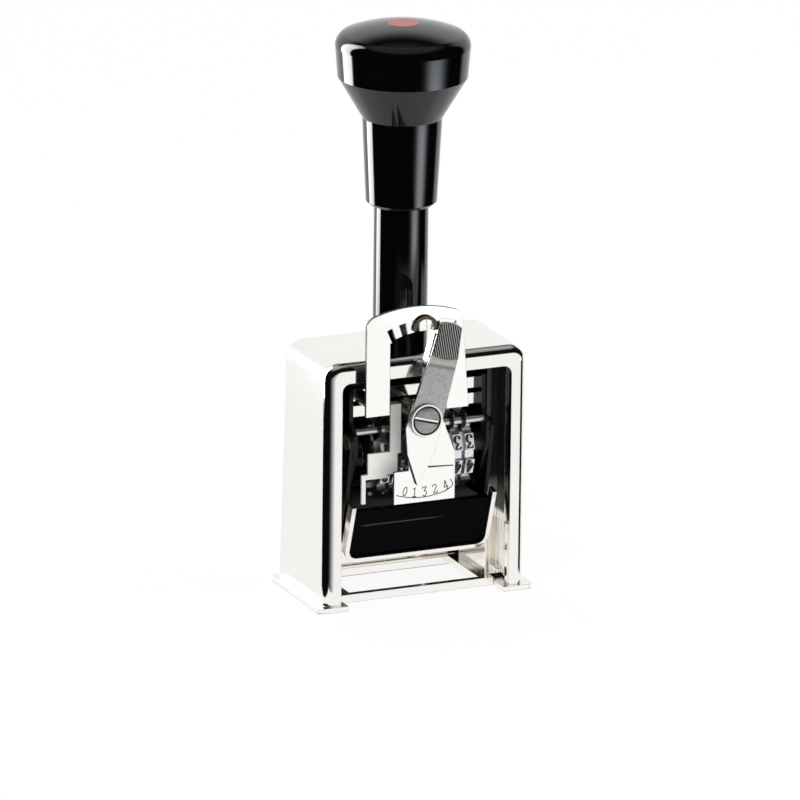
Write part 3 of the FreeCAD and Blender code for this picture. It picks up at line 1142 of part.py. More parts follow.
make_case()
make_handle()
make_works_frame()
make_wheels()
make_drive()
make_front()
make_lever()
make_pad()
doc.recompute()

for thing in doc.Objects:
    failed = {"Invalid", "Error"} & set(thing.State)
    if failed:
        raise RuntimeError(f"{thing.Label} did not build: {thing.State}")
for piece in pieces:
    if piece.Shape.isNull() or not piece.Shape.isValid() or not piece.Shape.Solids:
        raise RuntimeError(f"{piece.Label} is not a valid solid")

os.makedirs("parts", exist_ok=True)
for piece in pieces:
    piece.Shape.exportStep(f"parts/{piece.Label}.step")
print(len(pieces), "pieces written, from", len({piece.Label for piece in pieces}), "labels")
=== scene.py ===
"""A hand-operated numbering machine in nickel plate and black plastic, on a white table."""
import math

import bmesh
import bpy
from mathutils import Matrix, Quaternion, Vector


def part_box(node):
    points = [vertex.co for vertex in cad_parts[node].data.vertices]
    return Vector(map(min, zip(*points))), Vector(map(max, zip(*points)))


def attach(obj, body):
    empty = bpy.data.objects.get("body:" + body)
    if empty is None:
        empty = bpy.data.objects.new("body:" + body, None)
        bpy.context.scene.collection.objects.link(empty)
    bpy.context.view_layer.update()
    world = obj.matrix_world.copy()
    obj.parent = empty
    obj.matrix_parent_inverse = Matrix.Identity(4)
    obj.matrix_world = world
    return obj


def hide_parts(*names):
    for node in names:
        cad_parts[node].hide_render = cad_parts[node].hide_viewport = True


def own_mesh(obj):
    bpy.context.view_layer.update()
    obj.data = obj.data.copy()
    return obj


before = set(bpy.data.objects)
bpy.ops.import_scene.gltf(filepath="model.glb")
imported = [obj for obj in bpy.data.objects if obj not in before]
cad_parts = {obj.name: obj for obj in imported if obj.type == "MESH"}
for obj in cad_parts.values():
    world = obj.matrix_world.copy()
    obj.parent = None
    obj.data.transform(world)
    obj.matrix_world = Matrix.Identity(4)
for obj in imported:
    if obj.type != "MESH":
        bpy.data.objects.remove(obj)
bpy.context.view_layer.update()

# The camera: a long lens, in front of the machine and to its left, a little above it, and
# turned by less than a degree about its own axis.


def new_object(name, data):
    """A new object of the scene."""
    made = bpy.data.objects.new(name, data)
    bpy.context.scene.collection.objects.link(made)
    return made


lens = bpy.data.cameras.new("camera")
lens.lens = 487.7
lens.sensor_width = 36
lens.clip_end = 20
camera = new_object("camera", lens)
camera.location = (-1.2509, -2.82003, 0.9835)
sight = Vector((-0.0022, -0.00203, 0.05826)) - camera.location
camera.rotation_mode = "QUATERNION"
camera.rotation_quaternion = (sight.to_track_quat("-Z", "Y")
                              @ Quaternion((0, 0, 1), math.radians(0.65)))
bpy.context.scene.camera = camera


# The case: one zinc casting with two sides, a top and a leaning rear wall, polished and nickel
# plated outside and painted near-black inside as painted shade. Steel liners are riveted inside
# its mouth, and a flat nickelled base frame with the printing window is held between the feet.
class Wire:
    """A socket on its way through a finish. Sums add Math nodes, or Vector Math on a vector."""

    def __init__(self, socket):
        self.socket = socket

    def node(self, kind, settings=None, sockets=None, out=0):
        """Add any node to the same finish: its settings, then its sockets' values or wires."""
        tree = self.socket.id_data
        made = tree.nodes.new("ShaderNode" + kind)
        for name, value in (settings or {}).items():
            if name == "stops":
                for position, level in value[1:-1]:
                    made.color_ramp.elements.new(position)
                for stop, (position, level) in zip(made.color_ramp.elements, value):
                    stop.color = (level, level, level, 1)
            else:
                setattr(made, name, value)
        for name, value in (sockets or {}).items():
            if isinstance(value, Wire):
                tree.links.new(value.socket, made.inputs[name])
            else:
                made.inputs[name].default_value = value
        return Wire(made.outputs[out])

    def sum(self, operation, first, second):
        """One Math or Vector Math node, whichever suits what this wire carries."""
        if self.socket.type == "VECTOR":
            pair = [(v, v, v) if isinstance(v, (int, float)) else v for v in (first, second)]
            return self.node("VectorMath", {"operation": operation}, dict(enumerate(pair)))
        return self.node("Math", {"operation": operation}, {0: first, 1: second})

    def __add__(self, other):
        return self.sum("ADD", self, other)

    def __radd__(self, other):
        return self.sum("ADD", other, self)

    def __sub__(self, other):
        return self.sum("SUBTRACT", self, other)

    def __rsub__(self, other):
        return self.sum("SUBTRACT", other, self)

    def __mul__(self, other):
        return self.sum("MULTIPLY", self, other)

    def __rmul__(self, other):
        return self.sum("MULTIPLY", other, self)

    def parts(self):
        """A vector's three values."""
        split = self.node("SeparateXYZ", None, {0: self}).socket.node
        return [Wire(value) for value in split.outputs]

    def rise(self, start, end):
        """0 before start, 1 after end, and smooth between them."""
        return self.node("MapRange", {"interpolation_type": "SMOOTHSTEP"},
                         {"Value": self, "From Min": start, "From Max": end})

    def more(self, other):
        """The larger of two values."""
        return self.node("Math", {"operation": "MAXIMUM"}, {0: self, 1: other})

    def size(self):
        """A value without its sign."""
        return self.node("Math", {"operation": "ABSOLUTE"}, {0: self})

    def noise(self, scale, detail=2.0, rough=0.5):
        """Cloudy values from 0 to 1 over this place."""
        return self.node("TexNoise", None,
                         {"Vector": self, "Scale": scale, "Detail": detail, "Roughness": rough})

    def mix(self, colour, other):
        """From one colour to another as this value goes from 0 to 1."""
        return self.node("Mix", {"data_type": "RGBA"}, {0: self, 6: self.solid(colour),
                                                        7: self.solid(other)}, 2)

    def solid(self, colour):
        """A plain colour with its opacity, or a colour wire as it is."""
        return colour if isinstance(colour, Wire) else (*colour, 1)

    def bump(self, depth_mm, strength=1.0, edge_mm=0.0):
        """This value as a relief that is depth_mm deep, on edges rounded by edge_mm."""
        sockets = {"Height": self, "Strength": strength, "Distance": depth_mm / 1000}
        if edge_mm:
            sockets["Normal"] = self.node("Bevel", {"samples": 4}, {"Radius": edge_mm / 1000})
        return self.node("Bump", None, sockets)


def new_finish(name):
    """A new material, its shader, and the place on the piece in millimetres."""
    finish = bpy.data.materials.new(name)
    finish.use_nodes = True
    shader = finish.node_tree.nodes["Principled BSDF"]
    spot = finish.node_tree.nodes.new("ShaderNodeTexCoord")
    return finish, shader, Wire(spot.outputs["Object"]) * 1000


def fill(shader, **sockets):
    """Set a shader's sockets, named with _ for a space, to plain values or wires."""
    for name, value in sockets.items():
        socket = shader.inputs[name.replace("_", " ")]
        if isinstance(value, Wire):
            socket.id_data.links.new(value.socket, socket)
        elif socket.type == "RGBA":
            socket.default_value = (*value, 1)
        else:
            socket.default_value = value


def dress(finish, *names):
    """Give CAD nodes a finish."""
    for name in names:
        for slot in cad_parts[name].material_slots:
            slot.material = finish


def nickel_look(place, dull=(0.885, 0.860, 0.818), bright=(0.935, 0.912, 0.872)):
    """Nickel plate: colour, roughness and relief of a polished and lightly handled surface."""
    cloud = place.noise(0.06, 3)
    hairline = (place * (1.0, 1.0, 0.05)).noise(6, 4, 0.7)
    smudge = place.noise(0.35, 4, 0.6).rise(0.52, 0.72)
    colour = cloud.mix(dull, bright)
    rough = 0.05 + hairline * 0.04 + smudge * 0.04
    relief = (place.noise(0.5, 2) * 0.6 + hairline * 0.05).bump(0.002, 0.6, 0.28)
    return colour, rough, relief


nickel, shader, place = new_finish("nickel_plate")
colour, rough, relief = nickel_look(place)
fill(shader, Base_Color=colour, Metallic=1.0, Roughness=rough, Normal=relief)

# Inside, from just behind the mouth to the rear wall, the case is painted near-black as painted
# shade; below about 22 mm, where light comes in through the open base, the painted shade stops
# and the nickel shows.
case_finish, shader, place = new_finish("case_plate_and_painted_shade")
colour, rough, relief = nickel_look(place)
across, along, up = place.parts()
mouth_edge, ceiling, painted_shade_front, rear_wall, rear_lean = 27.4, 70.0, -12.5, 16.75, 0.0551
edge = along + place.noise(0.4, 3) * 1.2
inside = (across.size().rise(mouth_edge + 0.1, mouth_edge) * up.rise(ceiling + 0.1, ceiling)
          * edge.rise(painted_shade_front, painted_shade_front + 0.4))
lit_low_band = up.rise(24, 22)
inside = inside * (1 - (along + up * rear_lean).rise(rear_wall, rear_wall + 0.2)) * (1 - lit_low_band)
dust = place.noise(1.5, 5, 0.65)
painted_shade_tone = dust.rise(0.45, 0.75).mix((0.006, 0.006, 0.006), (0.016, 0.015, 0.014))
fill(shader, Base_Color=inside.mix(colour, painted_shade_tone), Metallic=1 - inside,
     Roughness=rough + inside * (0.25 + dust * 0.15), Normal=relief)
dress(case_finish, "case")
dress(nickel, "base_frame", "wall_liner_left", "wall_liner_right")

# The foot plates: two strips of rolled steel sheet, nickel plated and riveted under the case's
# sides. They keep the rolling's fine grain.
foot_plate, shader, place = new_finish("foot_plate_nickel")
colour = nickel_look(place)[0]
rolled = (place * (1.0, 0.06, 1.0)).noise(3.0, 3)
fill(shader, Base_Color=colour, Metallic=1.0, Roughness=0.2 + rolled * 0.06,
     Normal=rolled.bump(0.0008, 0.4, 0.28))
dress(foot_plate, "foot_left", "foot_right")

# The guide rails: two drawn brass strips, nickel plated, screwed inside the case walls. The
# works slide between them, so their feet are worn to a warmer tone; above about 30 mm the rails
# turn near-black.
rail_finish, shader, place = new_finish("worn_nickel_rail")
colour, rough, relief = nickel_look(place)
rub = (place * (1.0, 1.0, 0.04)).noise(1.4, 4, 0.6)
worn = rub.rise(0.42, 0.68)
upper_darkening = place.parts()[2].rise(26, 34)
fill(shader, Base_Color=upper_darkening.mix((worn * 0.35).mix(colour, (0.70, 0.63, 0.52)),
                                   (0.012, 0.011, 0.010)),
     Metallic=1 - upper_darkening, Roughness=rough + worn * 0.1, Normal=relief)
dress(rail_finish, "guide_rail_left", "guide_rail_right")
dress(nickel, "cross_bar_lower")

# The handle: a fixed moulded stem on the case, and a moulded sleeve and knob that slide over it
# on the plunger rod. All three are glossy black thermoplastic with a faint moulding ripple.
gloss_black, shader, place = new_finish("gloss_black_plastic")
haze = place.noise(0.12, 4, 0.6)
handling = place.noise(0.9, 5, 0.7).rise(0.55, 0.8)
swirl = (place * (1.0, 1.0, 0.12)).noise(3.5, 3, 0.6)
fill(shader, Base_Color=haze.mix((0.0008, 0.0008, 0.0010), (0.0022, 0.0022, 0.0026)), IOR=1.5,
     Specular_Tint=(0.90, 0.95, 1.0),
     Roughness=0.055 + haze * 0.04 + handling * 0.06,
     Normal=(place.noise(0.22, 2) * 0.7 + swirl * 0.03).bump(0.006, 0.5))
dress(gloss_black, "stem", "handle_sleeve", "knob")

# The inlay: a disc of dull red plastic, punched from sheet and glued into a shallow seat in the
# top of the knob.
red_disc, shader, place = new_finish("red_inlay_plastic")
pigment = place.noise(2.2, 5, 0.65)
fill(shader, Base_Color=pigment.mix((0.42, 0.115, 0.10), (0.52, 0.16, 0.14)), Roughness=0.3
     + pigment * 0.15, Normal=place.noise(5.0, 3).bump(0.01, 0.5))
dress(red_disc, "knob_inlay")

# Inside the stem: a hexagon nut that clamps the stem's spigot to the case, a steel rod that
# joins the knob to the works, and a coil spring that lifts them.
# The shafts, spacers, posts and pins of the works are of the same zinc-plated steel as the nut.
bright_zinc, shader, place = new_finish("bright_zinc_steel")
passivate = place.noise(0.5, 4, 0.6)
fill(shader, Base_Color=passivate.mix((0.60, 0.61, 0.60), (0.72, 0.70, 0.64)), Metallic=1.0,
     Roughness=0.22 + passivate * 0.16, Normal=place.noise(4.0, 4, 0.6).bump(0.004, 0.5))
dress(bright_zinc, "stem_nut", "plunger_rod", "arch_standoffs", "pivot_post", "wheel_shaft",
      "shaft_spacers", "detent_shaft", "drive_pin", "pad_pivot_pins")

oiled_wire, shader, place = new_finish("oiled_spring_steel")
draw = (place * (1.0, 1.0, 0.2)).noise(5.0, 4, 0.65)
fill(shader, Base_Color=draw.mix((0.16, 0.15, 0.14), (0.30, 0.28, 0.25)), Metallic=1.0,
     Roughness=0.28 + draw * 0.15, Normal=draw.bump(0.006, 0.5))
coil_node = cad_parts["return_spring"]
coil = new_object("coil_spring", coil_node.data.copy())
coil.matrix_world = coil_node.matrix_world.copy()
coil.data.materials.clear()
coil.data.materials.append(oiled_wire)
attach(coil, "housing")
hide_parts("return_spring")
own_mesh(coil)

# The works frame: two stamped side plates of blackened steel, joined by a bridge and two
# nickelled bars. Guide shoes pressed out of the plates run between the rails. The pawls, drive
# arms, repeat ratchet and the pad's arms are stamped from the same blackened steel.
black_steel, shader, place = new_finish("blackened_steel")
bloom = place.noise(0.7, 5, 0.62)
scuff = (place * (1.0, 1.0, 0.25)).noise(3.2, 5, 0.7).rise(0.6, 0.78)
tone = bloom.mix((0.010, 0.010, 0.011), (0.028, 0.025, 0.022))
fill(shader, Base_Color=scuff.mix(tone, (0.16, 0.15, 0.14)), Metallic=0.85,
     Roughness=0.24 + bloom * 0.2, Normal=place.noise(3.0, 4).bump(0.006, 0.5))
dress(black_steel, "side_plate_left", "side_plate_right", "works_bridge", "detent_pawls",
      "drive_arm_left", "drive_arm_right", "drive_pawls", "repeat_ratchet", "pad_arm_left",
      "pad_arm_right")
dress(nickel, "cross_bar_upper")

# The number wheels: eight engraved steel wheels, each with ten raised lands and a figure on
# every land. The rims are turned bright, and the figures stand in relief, mirrored as type is,
# and blackened by ink.
cut_steel, shader, place = new_finish("cut_wheel_steel")
grain = (place * (0.15, 1.0, 1.0)).noise(5.0, 4, 0.65)
stain = place.noise(0.9, 5, 0.6).rise(0.5, 0.72)
fill(shader, Base_Color=stain.mix((0.80, 0.82, 0.83), (0.42, 0.43, 0.44)), Metallic=1.0,
     Roughness=0.22 + grain * 0.16 + stain * 0.12, Normal=grain.bump(0.006, 0.5))
dress(cut_steel, *["number_wheel_%d" % wheel for wheel in range(1, 9)])

inked_steel, shader, place = new_finish("inked_figure_steel")
film = place.noise(2.4, 5, 0.65)
fill(shader, Base_Color=film.mix((0.005, 0.005, 0.006), (0.035, 0.034, 0.033)), Metallic=0.3,
     Roughness=0.25 + film * 0.25, Normal=film.bump(0.01, 0.5))

# Centre lines of the ten figures, one unit tall and centred on 0: points of across, up and half
# the line's width. A single point is a ball.
FIGURES = {
    0: [[(0.185 * math.sin(a), 0.452 * math.cos(a), 0.045 + 0.04 * math.sin(a) ** 2)
         for a in [math.radians(30 * step) for step in range(13)]]],
    1: [[(0, 0.47, 0.085), (0, 0, 0.085), (0, -0.47, 0.085)],
        [(-0.22, -0.465, 0.035), (0, -0.465, 0.035), (0.22, -0.465, 0.035)],
        [(-0.19, 0.27, 0.03), (-0.08, 0.34, 0.05), (0, 0.45, 0.05)]],
    2: [[(-0.15, 0.25, 0.085)],
        [(-0.22, 0.27, 0.03), (-0.13, 0.43, 0.035), (0, 0.465, 0.035), (0.16, 0.4, 0.06),
         (0.2, 0.25, 0.08), (0.02, -0.06, 0.065), (-0.19, -0.34, 0.035), (-0.22, -0.42, 0.03)],
        [(-0.2, -0.4, 0.06), (0, -0.4, 0.075), (0.2, -0.42, 0.06)],
        [(0.2, -0.42, 0.05), (0.23, -0.2, 0.02)]],
    3: [[(-0.15, -0.3, 0.085)],
        [(-0.22, 0.3, 0.02), (-0.2, 0.45, 0.04)],
        [(-0.2, 0.45, 0.04), (0, 0.45, 0.045), (0.22, 0.45, 0.04)],
        [(0.21, 0.44, 0.035), (0.08, 0.26, 0.045), (-0.06, 0.08, 0.045)],
        [(-0.06, 0.07, 0.03), (0.1, 0.05, 0.05), (0.2, -0.12, 0.08), (0.17, -0.34, 0.07),
         (0.04, -0.46, 0.04), (-0.1, -0.45, 0.035), (-0.2, -0.34, 0.03)]],
    4: [[(0.06, 0.47, 0.035), (-0.08, 0.15, 0.035), (-0.24, -0.19, 0.03)],
        [(-0.25, -0.2, 0.035), (0, -0.2, 0.035), (0.25, -0.2, 0.035)],
        [(0.08, 0.47, 0.07), (0.08, 0, 0.08), (0.08, -0.47, 0.08)],
        [(-0.08, -0.465, 0.035), (0.08, -0.465, 0.035), (0.22, -0.465, 0.035)]],
    5: [[(-0.17, 0.42, 0.07), (0.02, 0.42, 0.06), (0.2, 0.44, 0.04)],
        [(-0.17, 0.44, 0.03), (-0.17, 0.25, 0.03), (-0.18, 0.04, 0.03)],
        [(-0.17, 0.03, 0.03), (-0.06, 0.13, 0.035), (0.08, 0.12, 0.06), (0.2, -0.05, 0.08),
         (0.19, -0.28, 0.075), (0.08, -0.44, 0.05), (-0.05, -0.47, 0.035), (-0.2, -0.33, 0.03)],
        [(-0.15, -0.28, 0.08)]],
    6: [[(0.14, 0.3, 0.08)],
        [(0.2, 0.33, 0.03), (0.1, 0.46, 0.035), (-0.06, 0.42, 0.055), (-0.19, 0.15, 0.08),
         (-0.19, -0.2, 0.085), (-0.1, -0.43, 0.05), (0.02, -0.47, 0.035), (0.14, -0.41, 0.055),
         (0.19, -0.2, 0.075), (0.12, 0, 0.05), (0.02, 0.05, 0.035), (-0.15, -0.08, 0.03)]],
    7: [[(-0.2, 0.4, 0.05), (0, 0.42, 0.07), (0.2, 0.44, 0.04)],
        [(0.21, 0.43, 0.03), (0.06, 0.12, 0.05), (-0.02, -0.15, 0.08), (-0.03, -0.47, 0.09)],
        [(-0.21, 0.44, 0.03), (-0.21, 0.24, 0.02)]],
    8: [[(0.14 * math.sin(a), 0.25 + 0.2 * math.cos(a), 0.04 + 0.03 * math.sin(a) ** 2)
         for a in [math.radians(30 * step) for step in range(13)]],
        [(0.18 * math.sin(a), -0.22 + 0.24 * math.cos(a), 0.04 + 0.04 * math.sin(a) ** 2)
         for a in [math.radians(30 * step) for step in range(13)]]],
}
FIGURES[9] = [[(-x, -y, half) for x, y, half in stroke] for stroke in FIGURES[6]]


def smooth_line(points, steps=4):
    """More points between the given ones, on a smooth curve through them."""
    if len(points) < 3:
        return points
    ends = [points[0], *points, points[-1]]
    if points[0][:2] == points[-1][:2]:
        ends = [points[-2], *points, points[1]]
    line = []
    for a, b, c, d in zip(ends, ends[1:], ends[2:], ends[3:]):
        for step in range(steps):
            t = step / steps
            line.append(tuple(0.5 * (2 * q + (r - p) * t + (2 * p - 5 * q + 4 * r - s) * t ** 2
                                     + (3 * q - p - 3 * r + s) * t ** 3)
                              for p, q, r, s in zip(a, b, c, d)))
    return line + [points[-1]]


def skin(shape, rows):
    """Faces between rows of points that have the same number of points."""
    for row, following in zip(rows, rows[1:]):
        for step in range(len(row) - 1):
            shape.faces.new((row[step], row[step + 1], following[step + 1], following[step]))


BALL_SIDES = 15


def cut_stroke(shape, stroke, place_at, top):
    """Add one raised line of a figure. place_at turns across, up and height to a point."""
    if len(stroke) == 1:
        x, y, half = stroke[0]
        ring = [(x + half * math.cos(a), y + half * math.sin(a))
                for a in [math.radians(360 / BALL_SIDES * step) for step in range(BALL_SIDES)]]
        upper = [shape.verts.new(place_at(px, py, top)) for px, py in ring]
        lower = [shape.verts.new(place_at(px, py, 0)) for px, py in ring]
        shape.faces.new(upper)
        for step in range(BALL_SIDES):
            after = (step + 1) % BALL_SIDES
            shape.faces.new((upper[step], lower[step], lower[after], upper[after]))
        return
    line = smooth_line(stroke)
    rows = []
    for step, (x, y, half) in enumerate(line):
        before, after = line[max(step - 1, 0)], line[min(step + 1, len(line) - 1)]
        turn = Vector((after[1] - before[1], before[0] - after[0])).normalized() * half
        rows.append([shape.verts.new(place_at(x + side * turn.x, y + side * turn.y, height))
                     for side, height in ((-1, 0), (-1, top), (1, top), (1, 0))])
    skin(shape, rows)
    for end in (rows[0], rows[-1]):
        shape.faces.new(end)


def from_shape(name, shape, finish):
    """A new object from a finished shape."""
    mesh = bpy.data.meshes.new(name)
    shape.to_mesh(mesh)
    shape.free()
    mesh.materials.append(finish)
    return new_object(name, mesh)


def add_piece(name, shape, finish, body):
    """Turn a finished shape into a piece that rides on a body."""
    bmesh.ops.recalc_face_normals(shape, faces=shape.faces)
    piece = from_shape(name, shape, finish)
    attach(piece, body)
    return piece


axle_low, axle_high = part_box("wheel_shaft")
axle = Vector((0, (axle_low.y + axle_high.y) / 2, (axle_low.z + axle_high.z) / 2))
LAND_RADIUS, TYPE_FACE, TYPE_HEIGHT = 0.01245, 0.0130, 0.0043
HALF_RIM, LAND_ANGLE, OVERLAP_STEP = 0.0014, 36, 0.000008
for wheel in range(1, 9):
    rim_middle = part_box("number_wheel_%d" % wheel)[1].x - HALF_RIM
    lowest = 6 if wheel < 3 else 0
    shape = bmesh.new()
    for figure, strokes in FIGURES.items():
        angle = math.radians(-90 + LAND_ANGLE * (figure - lowest))
        for layer, stroke in enumerate(strokes):

            def on_rim(across, up, height):
                around = angle + up * TYPE_HEIGHT / TYPE_FACE
                radius = LAND_RADIUS + height
                return (rim_middle - across * TYPE_HEIGHT, axle.y + radius * math.cos(around),
                        axle.z + radius * math.sin(around))

            cut_stroke(shape, stroke, on_rim, TYPE_FACE - LAND_RADIUS - layer * OVERLAP_STEP)
    add_piece("figures_%d" % wheel, shape, inked_steel, "wheel_%d" % wheel)

# The front: a nickelled arch plate with setting notches, a scale plate with five engraved
# settings under it, and a matt setting bracket behind them. The plates are screwed to the
# cross bars through round standoffs, and the bracket's tab is fixed to the lower bar.
dress(nickel, "pivot_collar")
satin, shader, place = new_finish("satin_nickel_bracket")
colour, rough, relief = nickel_look(place, (0.94, 0.93, 0.89), (0.99, 0.98, 0.94))
brushed = (place * (1.0, 1.0, 0.1)).noise(5.0, 4, 0.7)
fill(shader, Base_Color=colour, Metallic=0.3, Roughness=rough + 0.35 + brushed * 0.1,
     Normal=relief)
dress(satin, "setting_bracket")
for name in ("arch_plate", "scale_plate", "pointer"):
    stamped, shader, place = new_finish("stamped_" + name)
    colour, rough, relief = nickel_look(place, (0.94, 0.93, 0.90), (0.99, 0.98, 0.95))
    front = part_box(name)[0].y * 1000
    # The plates' edges behind the front face are painted near-black: painted shade that outlines
    # them.
    painted_edge_shade = place.parts()[1].rise(front + 0.03, front + 0.12)
    fill(shader, Base_Color=painted_edge_shade.mix(colour, (0.03, 0.029, 0.028)), Metallic=1 - painted_edge_shade,
         Roughness=rough + painted_edge_shade * 0.6, Normal=relief)
    dress(stamped, name)
engraving, shader, place = new_finish("filled_engraving")
wax = place.noise(6.0, 4)
fill(shader, Base_Color=wax.mix((0.008, 0.008, 0.008), (0.035, 0.033, 0.031)),
     Roughness=0.45 + wax * 0.2)
PIVOT = (-0.0027, 0, 0.0578)
pivot = Vector(PIVOT)
plate_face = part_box("scale_plate")[0].y
FINE, CUT, FIGURE_RADIUS, FIGURE_HEIGHT, ARC_RADIUS = 0.00014, 0.00002, 0.0228, 0.0030, 0.0245


def on_scale(across, up, height):
    return (across, plate_face - height, up)


shape = bmesh.new()
for setting, lean in (("0", -14.0), ("1", -6.0), ("3", 2.0), ("2", 10.5), ("4", 19.5)):
    lean = math.radians(lean)
    middle = (pivot.x + FIGURE_RADIUS * math.sin(lean), pivot.z - FIGURE_RADIUS * math.cos(lean))
    for stroke in FIGURES[int(setting)]:
        if len(stroke) == 1:
            continue
        turned = [(middle[0] + FIGURE_HEIGHT * (x * math.cos(lean) - y * math.sin(lean)),
                   middle[1] + FIGURE_HEIGHT * (x * math.sin(lean) + y * math.cos(lean)), FINE)
                  for x, y, half in stroke]
        cut_stroke(shape, turned, on_scale, CUT)
under = [(pivot.x + ARC_RADIUS * math.sin(math.radians(a)),
          pivot.z - ARC_RADIUS * math.cos(math.radians(a)), FINE) for a in range(-20, 21, 3)]
hook = [(pivot.x + 0.0096, pivot.z - 0.0221, FINE), (pivot.x + 0.0098, pivot.z - 0.0211, FINE),
        (pivot.x + 0.0091, pivot.z - 0.0199, FINE)]
cut_stroke(shape, under + hook, on_scale, CUT)
cut_stroke(shape, [(-0.0009, 0.0425, 0.00026), (0.0033, 0.0423, 0.00022),
                   (0.0074, 0.0421, 0.00017)], on_scale, CUT)
add_piece("scale_engraving", shape, engraving, "works")

# The pivot screw: a domed head with a straight slot, turned from steel. It holds the lever and
# pointer on their post, inside a bright pressed collar.
turned_steel, shader, place = new_finish("turned_screw_steel")
across, along, up = (place - [value * 1000 for value in PIVOT]).parts()
lathe = place.node("Math", {"operation": "SQRT"}, {0: across * across + up * up})
rings = place.node("Math", {"operation": "SINE"}, {0: lathe * 9.0})
tarnish = place.noise(0.7, 5, 0.6)
# One half of the slot is a painted highlight; the other half and the ring round the head are
# painted shade.
slot = across * 0.267 + up * 0.964
lit = slot.rise(-0.10, 0.02) * slot.rise(0.48, 0.40)
shaded = (slot.rise(-0.56, -0.48) * slot.rise(-0.05, -0.18)).more(lathe.rise(3.85, 4.02))
tone = lit.mix(tarnish.mix((0.46, 0.455, 0.44), (0.17, 0.165, 0.16)), (0.98, 0.96, 0.88))
fill(shader, Base_Color=shaded.mix(tone, (0.01, 0.01, 0.01)), Metallic=1 - shaded,
     Roughness=0.2 + tarnish * 0.12, Normal=(rings * 0.3 + tarnish * 0.3).bump(0.006, 0.6))
screw_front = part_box("pivot_screw")[0].y
HEAD, SLOT_HALF, SLOT_DEPTH, DOME, TURN = 0.00415, 0.00050, 0.0006, 0.0007, math.radians(-15.5)
SKIRT_REAR, SHANK_RADIUS, SHANK_LENGTH, SHANK_MIDDLE = -0.0224, 0.0029, 0.0088, -0.0178
shape = bmesh.new()
edges = [0, 0.0002, SLOT_HALF, SLOT_HALF + 0.00006, 0.0010, 0.0016, 0.0022, 0.0028, 0.0034,
         0.0039, HEAD]
columns = sorted({-edge for edge in edges} | set(edges))


def head_point(along, across):
    """A point of the head: along the slot, across it, and out to the front."""
    reach = math.hypot(along, across)
    front = DOME * (1 - (reach / HEAD) ** 2) - (0.00025 if reach > HEAD * 0.985 else 0)
    if abs(across) < SLOT_HALF + 0.00001:
        front = -SLOT_DEPTH + DOME * 0.4
    return (pivot.x + along * math.cos(TURN) - across * math.sin(TURN),
            screw_front + DOME - front,
            pivot.z + along * math.sin(TURN) + across * math.cos(TURN))


rows = []
for across in columns:
    half = math.sqrt(max(HEAD ** 2 - across ** 2, 1e-12))
    rows.append([shape.verts.new(head_point(half * math.sin(math.radians(7.5 * step)), across))
                 for step in range(-12, 13)])
skin(shape, rows)
bmesh.ops.remove_doubles(shape, verts=shape.verts, dist=0.00001)
rim = [edge for edge in shape.edges if edge.is_boundary]
skirt = bmesh.ops.extrude_edge_only(shape, edges=rim)["geom"]
for vertex in (part for part in skirt if isinstance(part, bmesh.types.BMVert)):
    vertex.co.y = SKIRT_REAR
shank = bmesh.ops.create_cone(shape, segments=32, radius1=SHANK_RADIUS, radius2=SHANK_RADIUS,
                              depth=SHANK_LENGTH, cap_ends=True)["verts"]
bmesh.ops.rotate(shape, verts=shank, cent=(0, 0, 0),
                 matrix=Quaternion((1, 0, 0), math.radians(90)).to_matrix())
bmesh.ops.translate(shape, verts=shank, vec=(pivot.x, SHANK_MIDDLE, pivot.z))
screw = add_piece("slotted_pivot_screw", shape, turned_steel, "works")
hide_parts("pivot_screw")

# The setting lever: a thumb arm of blasted grey steel with a serrated grip, riveted to a bright
# pointer; its folded edge is only painted, as a painted highlight and a painted shade line. A
# bronze horseshoe spring behind the arm clicks into the notches.
blasted, shader, place = new_finish("blasted_grey_steel")
across, along, up = (place - [value * 1000 for value in PIVOT]).parts()
tilt = math.radians(15)
height = across * math.sin(tilt) + up * math.cos(tilt)
beside = across * math.cos(tilt) - up * math.sin(tilt)
sand = place.noise(7.0, 3, 0.7)
# Where the arm's edge folds, a lighter band is a painted highlight and a darker line in it is
# painted shade.
fold_highlight = height.rise(15.2, 17.0) * height.rise(19.2, 17.8)
edge = along.rise(-22.25, -22.1) * beside.rise(-3.0, -3.4)
mottle = (place.noise(1.5, 5, 0.8) - 0.5) * 3.2 + 0.5
body_tone = (sand * 0.2 + mottle * 0.8).mix((0.33, 0.335, 0.32), (0.60, 0.605, 0.59))
crease_shade = height.rise(15.6, 16.4) * height.rise(17.4, 16.8)
tone = crease_shade.mix((fold_highlight * 0.5).mix(body_tone, (0.66, 0.645, 0.60)), (0.30, 0.30, 0.285))
# Round the pivot, at the collar's edge, the arm is painted near-black: painted shade.
pivot_seat_shade = (across * across + up * up).rise(4.7 ** 2, 4.5 ** 2)
tone = pivot_seat_shade.mix(tone, (0.01, 0.01, 0.01))
fill(shader, Base_Color=edge.mix(tone, (0.90, 0.89, 0.86)), Metallic=1.0,
     Roughness=0.42 - edge * 0.3 + sand * 0.08, Normal=sand.bump(0.012, 0.7))
dress(blasted, "setting_lever")

ridge_steel, shader, place = new_finish("serrated_grip_steel")
wear = place.noise(1.6, 4, 0.6)
lever_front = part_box("setting_lever")[0].y
CROWN, FOOT, CROWN_HALF, FOOT_HALF = 0.0292, 0.0195, 0.00375, 0.0045
CROWN_RADIUS, FOOT_RADIUS, FOOT_SHIFT, INSET = 0.009, 0.014, 0.0006, 0.00012
RIDGE, PITCH, SLANT_ACROSS, SLANT_UP = 0.00022, 0.00070, 0.906, 0.4226
GRID, SUNK = 96, 0.00005
